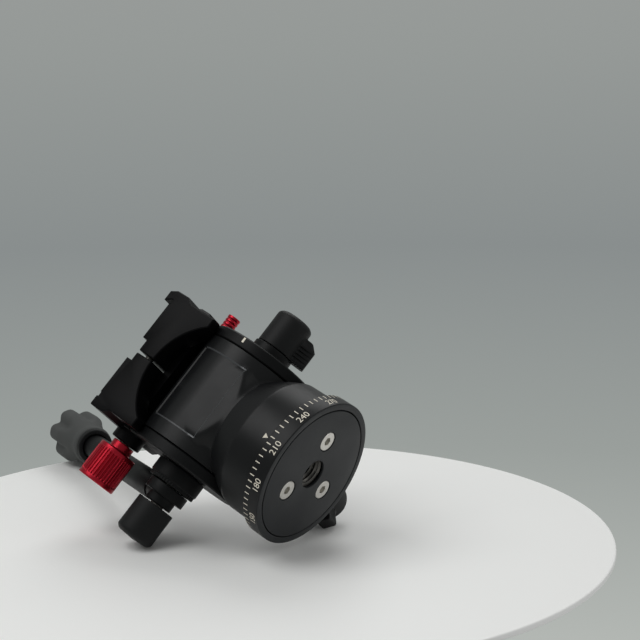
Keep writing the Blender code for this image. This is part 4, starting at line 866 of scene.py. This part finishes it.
def t_knob(name, node, height, direction, lean):
    """Rows of (radius, height) from the knob's back up its side, over the wing's slope, top and dome.

    On the side, half of the wing's thickness is less by a flat topped sine of the height, for the ribs.
    The wing points up * cos(lean) + sideways * sin(lean).
    """
    direction = np.asarray(direction, float)
    sideways = 1 - np.abs(direction) - PAN_AXIS
    wing_way = PAN_AXIS * math.cos(lean) + sideways * math.sin(lean)
    low, high = box_of(node)
    place = np.where(direction > 0, low, high) * np.abs(direction) + (0, 0, height)
    stops = (-WING_SIDE, -WING_FRONT, WING_FRONT, WING_SIDE, 2 * math.pi - WING_SIDE)
    angle = np.concatenate([
        np.linspace(first, last, number, endpoint=False)
        for first, last, number in zip(stops, stops[1:], WING_COLUMNS)
    ])

    def row(radius, height):
        """One radius, or one for each angle, at one height."""
        return np.stack([radius + 0 * angle, height + 0 * angle], axis=-1)

    side = np.linspace(KNOB_EDGE, SLOPE_START, 60)
    groove = np.clip(RIB_GAIN * np.sin(2 * math.pi * side / (SLOPE_START / RIB_COUNT)) - RIB_SHIFT, 0, 1)
    full = knob_radius(angle, WING_HALF)
    flank = knob_radius(angle[None, :], WING_HALF - RIB_DEPTH * groove[:, None])
    at_tip = np.clip((full[None, :] - WING_REACH * TIP_START) / (WING_REACH * TIP_BLEND), 0, 1)
    flank = flank * (1 - at_tip) + full[None, :] * at_tip
    sloped = np.minimum(full, np.maximum(HUB_RADIUS, full - WING_CHAMFER))
    upper = rounded(np.stack([
        row(full, SLOPE_START), row(full, SLOPE_START + 0.01), row(sloped, WING_TOP),
        row(HUB_RADIUS, WING_TOP + 0.02), row(HUB_RADIUS, KNOB_LENGTH - KNOB_CROWN),
        row(KNOB_NOSE, KNOB_LENGTH - KNOB_CROWN / 4), row(0, KNOB_LENGTH),
    ]), KNOB_ROUND)
    lower = rounded(np.stack([row(0, 0), row(full, 0), row(full, KNOB_EDGE)]), KNOB_FOOT_ROUND)
    radius = np.concatenate([lower[..., 0], flank, upper[..., 0]])
    height = np.concatenate([lower[..., 1], np.repeat(side[:, None], len(angle), axis=1), upper[..., 1]])
    axes = (wing_way, np.cross(direction, wing_way), direction)
    return dress(surface(name, carried(radius, height, place, axes, angle), moulded_nylon), node)


knobs = [
    t_knob(f"{lock}_t_knob", f"{lock}_knob", height, direction, math.radians(lean))
    for lock, height, direction, lean in (
        ("pan_lock", PAN_LOCK_HEIGHT, (0, 1, 0), 222), ("tilt_lock", TILT_HEIGHT, (1, 0, 0), 149),
        ("handle_lock", TILT_HEIGHT, (-1, 0, 0), 59),
    )
]
count(*knobs)

# %% [markdown]
# ## Cheeks and bridge
# Two round cheeks turn on the tilt shaft, one at each end of the drum, and carry the clamp on a bridge
# between their tops. A cheek's outline is most of a circle with a square neck, and its edges are broken.

# %% Cheeks, bridge and washer
low, high = box_of("tilt_arm_right")
CHEEK_RADIUS, CHEEK_TOP = high[1], high[2]
CHEEK_NECK = box_of("tilt_bridge")[1][1]
neck_angle = math.asin(CHEEK_NECK / CHEEK_RADIUS)
sweep = np.linspace(neck_angle, 2 * math.pi - neck_angle, 120)
cheek_outline = np.concatenate([
    np.stack([CHEEK_RADIUS * np.sin(sweep), TILT_HEIGHT + CHEEK_RADIUS * np.cos(sweep)], axis=1),
    [(-CHEEK_NECK, CHEEK_TOP), (CHEEK_NECK, CHEEK_TOP)],
])
cheeks = []
for name in ("left", "right"):
    low, high = box_of(f"tilt_arm_{name}")
    cheek = slab(f"tilt_cheek_{name}", cheek_outline, 0, low[0], high[0], black_anodised, 0.45)
    cheeks.append(dress(cheek, f"tilt_arm_{name}"))
low, high = box_of("tilt_bridge")
# The bridge takes the clamp's darker black, which is painted shade.
bridge = dress(block("clamp_bridge", low, high, clamp_black_painted_shade, 0.3), "tilt_bridge")
low, high = box_of("tilt_washer")
washer = dress(turned(
    "tilt_stop_washer", stick(high[1], low[0], high[0], 0.4), tilt_centre, TILT_AXIS, black_anodised,
), "tilt_washer")
TILT_MARK_ANGLE, TILT_MARK_WIDTH, TILT_MARK_START, TILT_MARK_END = math.radians(92), 0.8, 21.2, 23.0
mark_turn = TILT_MARK_ANGLE + SIDE_TO_SIDE * TILT_MARK_WIDTH / CHEEK_RADIUS
mark_radius = CHEEK_RADIUS + INK_LIFT
mark_points = np.stack([
    np.repeat([TILT_MARK_START, TILT_MARK_END], 2), -mark_radius * np.sin(mark_turn),
    TILT_HEIGHT + mark_radius * np.cos(mark_turn),
], axis=1)
tilt_mark = open_mesh("tilt_index_mark", mark_points, [(0, 1, 2, 3)], scale_ink)
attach(tilt_mark, "tilt_body")
count(*cheeks, bridge, washer)

# %% [markdown]
# ## Clamp jaws
# The clamp is a block split in two halves. Seen from its end each half has a dovetail lip, a flat floor
# with a middle groove, a side that draws in towards the foot, and an arch over the drum. The outline is
# carried along Y. Then the room for the cheeks and the bridge is cut out, as a mill would do it.

# %% Jaws
fixed_low, fixed_high = box_of("clamp_fixed_jaw")
moving_low, moving_high = box_of("clamp_moving_jaw")
CLAMP_HALF_X, CLAMP_HALF_Y, CLAMP_FLOOR, CLAMP_BOTTOM = 24.4, fixed_high[1], 74.0, 64.7
LIP_TOP, LIP_TIP, LIP_ROOT, LIP_SHOULDER, LIP_THICK, LIP_RELIEF = fixed_high[2], 19.3, 20.7, 23.0, 0.5, 0.4
TAPER_X, TAPER_LOW, TAPER_HIGH, LEG_BOTTOM, ARCH = 22.6, 66.0, 68.67, fixed_low[2], 23.6
CHANNEL_HALF, GROOVE_HALF, GROOVE_DEPTH, LEFT_LIP_START = 11.4, 4.35, 2.4, -11.0
PAST, CUTTER_EDGE = 2, 0.01


def jaw_outline(side, inner):
    """The end view of one half as (x, z) corners, from the slit over the floor and lip to the arch."""
    arch_low = math.acos((LEG_BOTTOM - TILT_HEIGHT) / ARCH)
    arch_high = math.asin(inner / ARCH)
    angle = np.linspace(arch_low, arch_high, 24)
    corners = [
        (inner, CLAMP_FLOOR), (LIP_TIP - FIT, CLAMP_FLOOR), (LIP_TIP - FIT, CLAMP_FLOOR - LIP_RELIEF),
        (LIP_ROOT, CLAMP_FLOOR - LIP_RELIEF), (LIP_ROOT, CLAMP_FLOOR), (LIP_TIP, LIP_TOP - LIP_THICK),
        (LIP_TIP, LIP_TOP), (LIP_SHOULDER, LIP_TOP), (CLAMP_HALF_X, CLAMP_FLOOR),
        (CLAMP_HALF_X, TAPER_HIGH), (TAPER_X, TAPER_LOW), (TAPER_X, LEG_BOTTOM),
    ]
    arch = np.stack([ARCH * np.sin(angle), TILT_HEIGHT + ARCH * np.cos(angle)], axis=1)
    outline = np.concatenate([corners, arch])
    outline[:, 0] *= side
    return outline


def jaw(name, side, inner):
    """One half of the clamp, with the room for cheeks, bridge and middle groove cut out."""
    # The jaws take the clamp's darker black, which is painted shade.
    made = slab(name, jaw_outline(side, inner), 1, -CLAMP_HALF_Y, CLAMP_HALF_Y, clamp_black_painted_shade, 0.35)
    far = CLAMP_HALF_X + PAST
    blocks = {
        "channel": ((-far, -CHANNEL_HALF, LEG_BOTTOM - PAST), (far, CHANNEL_HALF, CLAMP_BOTTOM)),
        "groove": ((-GROOVE_HALF, -far, CLAMP_FLOOR - GROOVE_DEPTH), (GROOVE_HALF, far, CLAMP_FLOOR + PAST)),
    }
    if side < 0:
        blocks["short_lip"] = ((-far, -far, CLAMP_FLOOR), (0, LEFT_LIP_START, LIP_TOP + PAST))
    room = turned(
        "room", stick(CHEEK_ROOM, -far, far), tilt_centre, TILT_AXIS, black_anodised, sides=120,
    )
    cutters = [block(title, *corners, black_anodised, CUTTER_EDGE) for title, corners in blocks.items()]
    return carve(made, [room] + cutters, 0.2)


fixed_jaw = jaw("clamp_jaw_fixed", 1, fixed_low[0])
BULGE_FRONT, BULGE_BACK, BULGE_LOW, BULGE_HIGH, BULGE_EDGE = -6.0, 4.0, 67.5, 73.2, 0.9
# The bulge too takes the clamp's darker black, painted shade.
bulge = block(
    "bulge", (CLAMP_HALF_X - 1, BULGE_FRONT, BULGE_LOW), (fixed_high[0], BULGE_BACK, BULGE_HIGH),
    clamp_black_painted_shade, BULGE_EDGE,
)
fixed_jaw = dress(together("clamp_jaw_fixed", fixed_jaw, bulge), "clamp_fixed_jaw")

CLAMP_BOSS_RADIUS, CLAMP_BOSS_START = 5.6, 20.0
knob_centre = middle_of("clamp_knob")[0] * (0, 0, 1)
moving_jaw = jaw("clamp_jaw_moving", -1, -moving_high[0])
clamp_boss = turned(
    "clamp_boss", stick(CLAMP_BOSS_RADIUS, CLAMP_BOSS_START, -moving_low[0], 0.5), knob_centre, -TILT_AXIS,
    black_anodised, sides=FEW_SIDES,
)
moving_jaw = dress(together("clamp_jaw_moving", moving_jaw, clamp_boss), "clamp_moving_jaw")
count(fixed_jaw, moving_jaw)

# %% [markdown]
# ## Clamp knob
# The red knob has plain collars at both ends and straight ribs between them. The ribs come from a cosine
# round the axis, cut off flat at its top, that fades out at the collars.

# %% Ribbed red knob
low, high = box_of("clamp_knob")
KNOB_START, KNOB_END, KNOB_RADIUS = -high[0], -low[0], high[1]
KNOB_NECK, KNOB_BODY, KNOB_COLLAR = 4.1, 31.0, 2.0
KNOB_RIBS, KNOB_GROOVE, KNOB_RUN_OUT, KNOB_GAIN, KNOB_SHIFT = 36, 0.5, 0.35, 1.1, 0.25


def ribs(angle, height):
    """-depth * flat topped cosine of the angle, between the collars, with short run-outs."""
    wave = np.clip(KNOB_GAIN * np.cos(KNOB_RIBS * angle) + KNOB_SHIFT, 0, 1)
    between = ramp(height, KNOB_BODY + KNOB_COLLAR, KNOB_END - KNOB_COLLAR, KNOB_RUN_OUT)
    return -KNOB_GROOVE * wave * between


knob_profile = rounded([
    (0, KNOB_START), (KNOB_NECK, KNOB_START), (KNOB_NECK, KNOB_BODY), (KNOB_RADIUS, KNOB_BODY),
    (KNOB_RADIUS, KNOB_END), (0, KNOB_END),
], 0.5)
clamp_knob = dress(turned(
    "clamp_knob_red", dense(knob_profile, 0.35), knob_centre, -TILT_AXIS, red_anodised,
    sides=KNOB_RIBS * 12, swell=ribs,
), "clamp_knob")
count(clamp_knob)

# %% [markdown]
# ## Safety pin
# A small red pin on the right keeps a camera plate from sliding out. Its head has three shallow grooves
# to hold it by, and it slides in a steel sleeve.

# %% Safety pin and sleeve
low, high = box_of("safety_pin")
middle, half = middle_of("safety_pin")
PIN_CENTRE, PIN_HEAD, PIN_STEM = middle * (0, 1, 1), half[2], 1.3
PIN_OUT, PIN_HEAD_START, PIN_COLLAR_START = high[0], 26.6, low[0]
PIN_COLLAR, PIN_COLLAR_END = 2.4, 16.0
PIN_GROOVE, PIN_GROOVE_HALF = 0.22, 0.28
groove_places = np.linspace(PIN_HEAD_START, PIN_OUT, 9)[2:-1:2]


def pin_grooves(_, height):
    """Three round grooves: -depth * exp(-((h - h0) / half)^2) for each place h0, on the head only."""
    away = (height[..., None] - groove_places) / PIN_GROOVE_HALF
    return -PIN_GROOVE * np.exp(-away ** 2).sum(axis=-1) * (height > PIN_HEAD_START + 0.3)


pin_profile = rounded([
    (0, PIN_COLLAR_START), (PIN_COLLAR, PIN_COLLAR_START), (PIN_COLLAR, PIN_COLLAR_END),
    (PIN_STEM, PIN_COLLAR_END), (PIN_STEM, PIN_HEAD_START), (PIN_HEAD, PIN_HEAD_START),
    (PIN_HEAD, PIN_OUT), (0, PIN_OUT),
], 0.3)
safety_pin = dress(turned(
    "safety_pin_red", dense(pin_profile, 0.12), PIN_CENTRE, TILT_AXIS, red_anodised, sides=FEW_SIDES,
    swell=pin_grooves,
), "safety_pin")
low, high = box_of("pin_sleeve")
sleeve_section = tube(PIN_STEM + FIT, middle_of("pin_sleeve")[1][2], low[0], high[0], 0.2)
sleeve = dress(turned(
    "safety_pin_sleeve", sleeve_section, PIN_CENTRE, TILT_AXIS, machined_steel, sides=FEW_SIDES, ring=True,
), "pin_sleeve")
count(safety_pin, sleeve)

# %% [markdown]
# ## Handle
# The handle swings on a rosette on the left cheek: two discs with fine teeth that lock it at any angle.
# Its eye, a straight rod, a collar and the grip lie along one line. The rosette's teeth are radial waves
# on its rim, and the grip has six lobes that fade in towards its end.

# %% Rosette and eye
low, high = box_of("rosette_disc")
ROSETTE_RADIUS, ROSETTE_START, ROSETTE_END = high[1], -high[0], -low[0]
ROSETTE_BORE, ROSETTE_STEP, ROSETTE_STEP_LOW, ROSETTE_STEP_HIGH = 2.8, 0.35, 1.6, 1.3
ROSETTE_TEETH, TOOTH_DEPTH, TOOTH_LENGTH = 48, 0.2, 1.4


def teeth(angle, height):
    """-depth * (1 + cos(teeth * a)) / 2 on the stepped end of the disc."""
    wave = 0.5 + 0.5 * np.cos(ROSETTE_TEETH * angle)
    return -TOOTH_DEPTH * wave * (height > ROSETTE_END - TOOTH_LENGTH)


stepped = ROSETTE_RADIUS - ROSETTE_STEP
rosette_section = rounded([
    (ROSETTE_BORE, ROSETTE_START), (ROSETTE_RADIUS, ROSETTE_START),
    (ROSETTE_RADIUS, ROSETTE_END - ROSETTE_STEP_LOW), (stepped, ROSETTE_END - ROSETTE_STEP_HIGH),
    (stepped, ROSETTE_END), (ROSETTE_BORE, ROSETTE_END),
], 0.25, closed=True)
rosette = dress(turned(
    "handle_rosette", rosette_section, tilt_centre, -TILT_AXIS, black_anodised,
    sides=ROSETTE_TEETH * 6, swell=teeth, ring=True,
), "rosette_disc")

low, high = box_of("handle_eye")
EYE_RADIUS, EYE_START, EYE_END, EYE_BOSS, EYE_BOSS_END = -low[1], 30.7, 34.6, 5.0, -low[0]
EYE_NECK, EYE_NECK_START, EYE_NECK_END, EYE_ROOM = 4.3, 2.0, 9.2, 12.0
HANDLE_LEAN = math.radians(36.5)
handle_centre = np.array([middle_of("handle_rod")[0][0], 0, TILT_HEIGHT])
handle_way = np.array([0, math.sin(HANDLE_LEAN), math.cos(HANDLE_LEAN)])
eye_disc = turned(
    "eye_disc",
    rounded([(0, EYE_START), (EYE_RADIUS, EYE_START), (EYE_RADIUS, EYE_END), (EYE_BOSS, EYE_END),
             (EYE_BOSS, EYE_BOSS_END), (0, EYE_BOSS_END)], 0.35),
    tilt_centre, -TILT_AXIS, black_anodised,
)
eye_neck = turned(
    "eye_neck", stick(EYE_NECK, EYE_NECK_START, EYE_NECK_END, 0.3), handle_centre, handle_way,
    black_anodised, sides=FEW_SIDES,
)
eye_room = turned(
    "eye_room", stick(EYE_ROOM, ROSETTE_START, EYE_START), tilt_centre, -TILT_AXIS, black_anodised,
)
carve(eye_neck, [eye_room])
eye = dress(together("handle_eye_hub", eye_disc, eye_neck), "handle_eye")
count(rosette, eye)

# %% [markdown]
# The rod is drawn aluminium tube, anodised like the rest. The rubber grip starts with a round lip and a
# narrow waist, flares into a lobed end, and closes with a soft dome. Its radius is the profile's, less a
# flute depth that grows along it: r - depth(h) * ((1 - cos(6 a)) / 2)^2.

# %% Rod, collar and grip
ROD_RADIUS, COLLAR_RADIUS, GRIP_RADIUS = (
    middle_of(node)[1][0] for node in ("handle_rod", "handle_collar", "handle_grip")
)
ROD_START, ROD_END, COLLAR_START, COLLAR_END = 9.6, 122.0, 92.6, 95.4
GRIP_START, GRIP_END, GRIP_WAIST, GRIP_LIP, GRIP_DOME = 95.8, 131.0, 6.9, 7.6, 1.6
GRIP_LOBES, FLUTE_START, FLUTE_GROWTH, FLUTE_DEPTH = 6, 0.3, 0.25, 2.3
rod = dress(turned(
    "handle_rod_tube", stick(ROD_RADIUS, ROD_START, ROD_END, 0.4), handle_centre, handle_way, black_anodised,
), "handle_rod")
collar = dress(turned(
    "handle_collar_ring", tube(ROD_RADIUS + FIT, COLLAR_RADIUS, COLLAR_START, COLLAR_END, 0.5),
    handle_centre, handle_way, moulded_nylon, ring=True,
), "handle_collar")
grip_length = GRIP_END - GRIP_START


def grip_place(share):
    """The place along the handle at a share of the grip's length: start + share * length."""
    return GRIP_START + grip_length * share


def flutes(angle, height):
    """-depth * s^2 (3 - 2 s) * ((1 - cos(6 a)) / 2)^2, where s grows from 0 to 1 behind the waist."""
    grown = np.clip((height - grip_place(FLUTE_START)) / (grip_length * FLUTE_GROWTH), 0, 1)
    grown = grown * grown * (3 - 2 * grown)
    valley = (0.5 - 0.5 * np.cos(GRIP_LOBES * angle)) ** 2
    return -FLUTE_DEPTH * grown * valley


lip_end, waist_start, waist_end, full_start, full_end = map(grip_place, (0.1, 0.16, 0.24, 0.52, 0.88))
grip_profile = rounded([
    (0, GRIP_START), (GRIP_LIP, GRIP_START), (GRIP_LIP, lip_end), (GRIP_WAIST, waist_start),
    (GRIP_WAIST, waist_end), (GRIP_RADIUS, full_start), (GRIP_RADIUS, full_end),
    (GRIP_RADIUS - GRIP_DOME, GRIP_END), (0, GRIP_END),
], 1.4, steps=6)
grip = dress(turned(
    "handle_rubber_grip", dense(grip_profile, 0.6), handle_centre, handle_way, grip_rubber,
    sides=GRIP_LOBES * 24, swell=flutes,
), "handle_grip")
count(rod, collar, grip)

# %% [markdown]
# ## CAD nodes that stay
# The inner parts keep their CAD meshes. Where a gap shows one, it should still look like steel or
# bronze, so the steel ones get the machined steel finish.

# %% Finish of the nodes that stay
kept = [name for name in body_of if slot_of[name] == "steel"]
for name in kept:
    node = frame["nodes"][name]
    node.data.materials.clear()
    node.data.materials.append(machined_steel)
print(len(kept), "steel nodes share", machined_steel.name)

# %% [markdown]
# ## Turntable
# The head lies on three points: its handle grip, the handle lock knob and the pan lock knob. The plane
# through them is the top of the turntable. The frame stands the head upright, so here it is the
# turntable that leans. It is a wide disc with a very low round rim, one sided, so that it can be looked
# through from below.

# %% Turntable and its paint
TABLE_UP = np.array([0.743, -0.5682, 0.3537])
TABLE_UP = TABLE_UP / np.linalg.norm(TABLE_UP)
TABLE_LEVEL = -27.5
TABLE_RADIUS, TABLE_EDGE, TABLE_THICK, TABLE_UNDER = 126.0, 0.8, 1.6, 0.5
TABLE_RIGHT, TABLE_BACK = np.array([0.5994, 0.3299, -0.7293]), np.array([0.2977, 0.7539, 0.5857])
TABLE_SHIFT_RIGHT, TABLE_SHIFT_BACK = -23.0, 28.0
table_centre = TABLE_UP * TABLE_LEVEL + TABLE_RIGHT * TABLE_SHIFT_RIGHT + TABLE_BACK * TABLE_SHIFT_BACK

table_paint, tree, shader = start("pale turntable laminate", "#f0f1ef", roughness=0.5)
facing = add(tree, "ShaderNodeNewGeometry")
clear = add(tree, "ShaderNodeBsdfTransparent")
seen = add(tree, "ShaderNodeMixShader", {
    0: facing.outputs["Backfacing"], 1: shader.outputs["BSDF"], 2: clear.outputs["BSDF"],
})
tree.links.new(seen.outputs["Shader"], tree.nodes["Material Output"].inputs["Surface"])

table_profile = rounded([
    (0, 0), (TABLE_RADIUS, 0), (TABLE_RADIUS, -TABLE_THICK),
    (TABLE_RADIUS - TABLE_UNDER, -TABLE_THICK - TABLE_UNDER),
], TABLE_EDGE, steps=8)
angle, radius, height = all_round(table_profile, 240)
table_points = carried(radius, height, table_centre, (TABLE_RIGHT, TABLE_BACK, TABLE_UP), angle)
table_faces = [face[::-1] for face in grid_faces(*table_points.shape[:2])]
turntable = open_mesh("turntable", table_points.reshape(-1, 3), table_faces, table_paint)
turntable.data.shade_smooth()
print("turntable of", 2 * TABLE_RADIUS, "mm")

# %% [markdown]
# ## Backdrop and light
# The backdrop is a grey studio wall out of focus, lighter above and below. The world's colour by
# direction paints it for the camera and for reflections, while plain white light from all round lights
# the head. Three soft square lamps give the highlights and the shadow, the strongest of them above and
# to the left.

# %% World
WALL_LOW, WALL_HIGH, FILL_STRENGTH = -0.45, 0.10, 0.42
world = bpy.data.worlds.new("studio")
bpy.context.scene.world = world
world.use_nodes = True
tree = world.node_tree
tree.nodes.clear()
place = add(tree, "ShaderNodeTexCoord")
rise = add(tree, "ShaderNodeVectorMath", {
    0: place.outputs["Generated"], 1: tuple(TABLE_UP),
}, operation="DOT_PRODUCT")
spread = add(tree, "ShaderNodeMapRange", {
    "Value": rise.outputs["Value"], "From Min": WALL_LOW, "From Max": WALL_HIGH,
})
wall = add(tree, "ShaderNodeValToRGB", {"Fac": spread.outputs["Result"]})
stops = [(0.0, "#c4c7c4"), (0.16, "#b4b8b4"), (0.38, "#9a9f9c"), (0.62, "#898e8e"), (0.85, "#959997"),
         (1.0, "#9a9d9b")]
ramp_stops = wall.color_ramp.elements
for number, (position, colour) in enumerate(stops):
    stop = ramp_stops[number] if number < 2 else ramp_stops.new(position)
    stop.position = position
    stop.color = srgb(colour)
backdrop = add(tree, "ShaderNodeBackground", {"Color": wall.outputs["Color"], "Strength": 1.0})
fill = add(tree, "ShaderNodeBackground", {"Color": srgb("#ffffff"), "Strength": FILL_STRENGTH})
ray = add(tree, "ShaderNodeLightPath")
seen_or_glossy = add(tree, "ShaderNodeMath", {
    0: ray.outputs["Is Camera Ray"], 1: ray.outputs["Is Glossy Ray"],
}, operation="MAXIMUM")
mirrored = add(tree, "ShaderNodeMath", {
    0: seen_or_glossy.outputs["Value"], 1: ray.outputs["Is Transmission Ray"],
}, operation="MAXIMUM")
mix = add(tree, "ShaderNodeMixShader", {
    0: mirrored.outputs["Value"], 1: fill.outputs["Background"], 2: backdrop.outputs["Background"],
})
add(tree, "ShaderNodeOutputWorld", {"Surface": mix.outputs["Shader"]})
print("backdrop has", len(stops), "tones")

# %% Lamps
LAMP_TARGET = Vector((0, 0, 35 * MM))


def lamp(name, right, back, up, width, power):
    """A square white lamp at a place in mm over the turntable, which looks at the head."""
    light = bpy.data.lights.new(name, "AREA")
    light.shape = "SQUARE"
    light.size = width * MM
    light.energy = power
    light.color = srgb("#ffffff")[:3]
    made = put_in_scene(name, light)
    place = Vector((TABLE_RIGHT * right + TABLE_BACK * back + TABLE_UP * up) * MM)
    turn = (place - LAMP_TARGET).to_track_quat("Z", "Y").to_matrix().to_4x4()
    made.matrix_world = Matrix.Translation(place) @ turn


lamp("soft box above left", right=-260, back=-120, up=420, width=320, power=1.0)
lamp("soft box above back", right=60, back=300, up=380, width=300, power=0.6)
lamp("window from the right", right=420, back=-160, up=160, width=260, power=0.25)
print("three soft lamps")

# %% [markdown]
# ## Camera
# The photograph was taken from in front of the base and a little above the turntable, with a lens of
# about 24 degrees across. In the head's upright frame that is a camera below and in front of it, rolled
# far over. The three axes of its view are its columns.

# %% Camera
CAMERA_PLACE = np.array([-45.419, -431.88, -236.867])
CAMERA_RIGHT = np.array([0.59485, 0.33336, -0.73146])
CAMERA_AHEAD = np.array([0.17549, 0.83415, 0.52287])
SENSOR, LENS = 36.0, 84.69
camera_up = np.cross(CAMERA_RIGHT, CAMERA_AHEAD)
camera_data = bpy.data.cameras.new("camera")
camera_data.sensor_width = SENSOR
camera_data.lens = LENS
camera_data.clip_start = 0.01
camera = put_in_scene("camera", camera_data)
columns = np.eye(4)
columns[:3, 0] = CAMERA_RIGHT
columns[:3, 1] = camera_up
columns[:3, 2] = -CAMERA_AHEAD
columns[:3, 3] = CAMERA_PLACE * MM
camera.matrix_world = Matrix(columns.tolist())
bpy.context.scene.camera = camera
bpy.context.scene.view_settings.view_transform = "Standard"
print("camera at", CAMERA_PLACE, "mm")
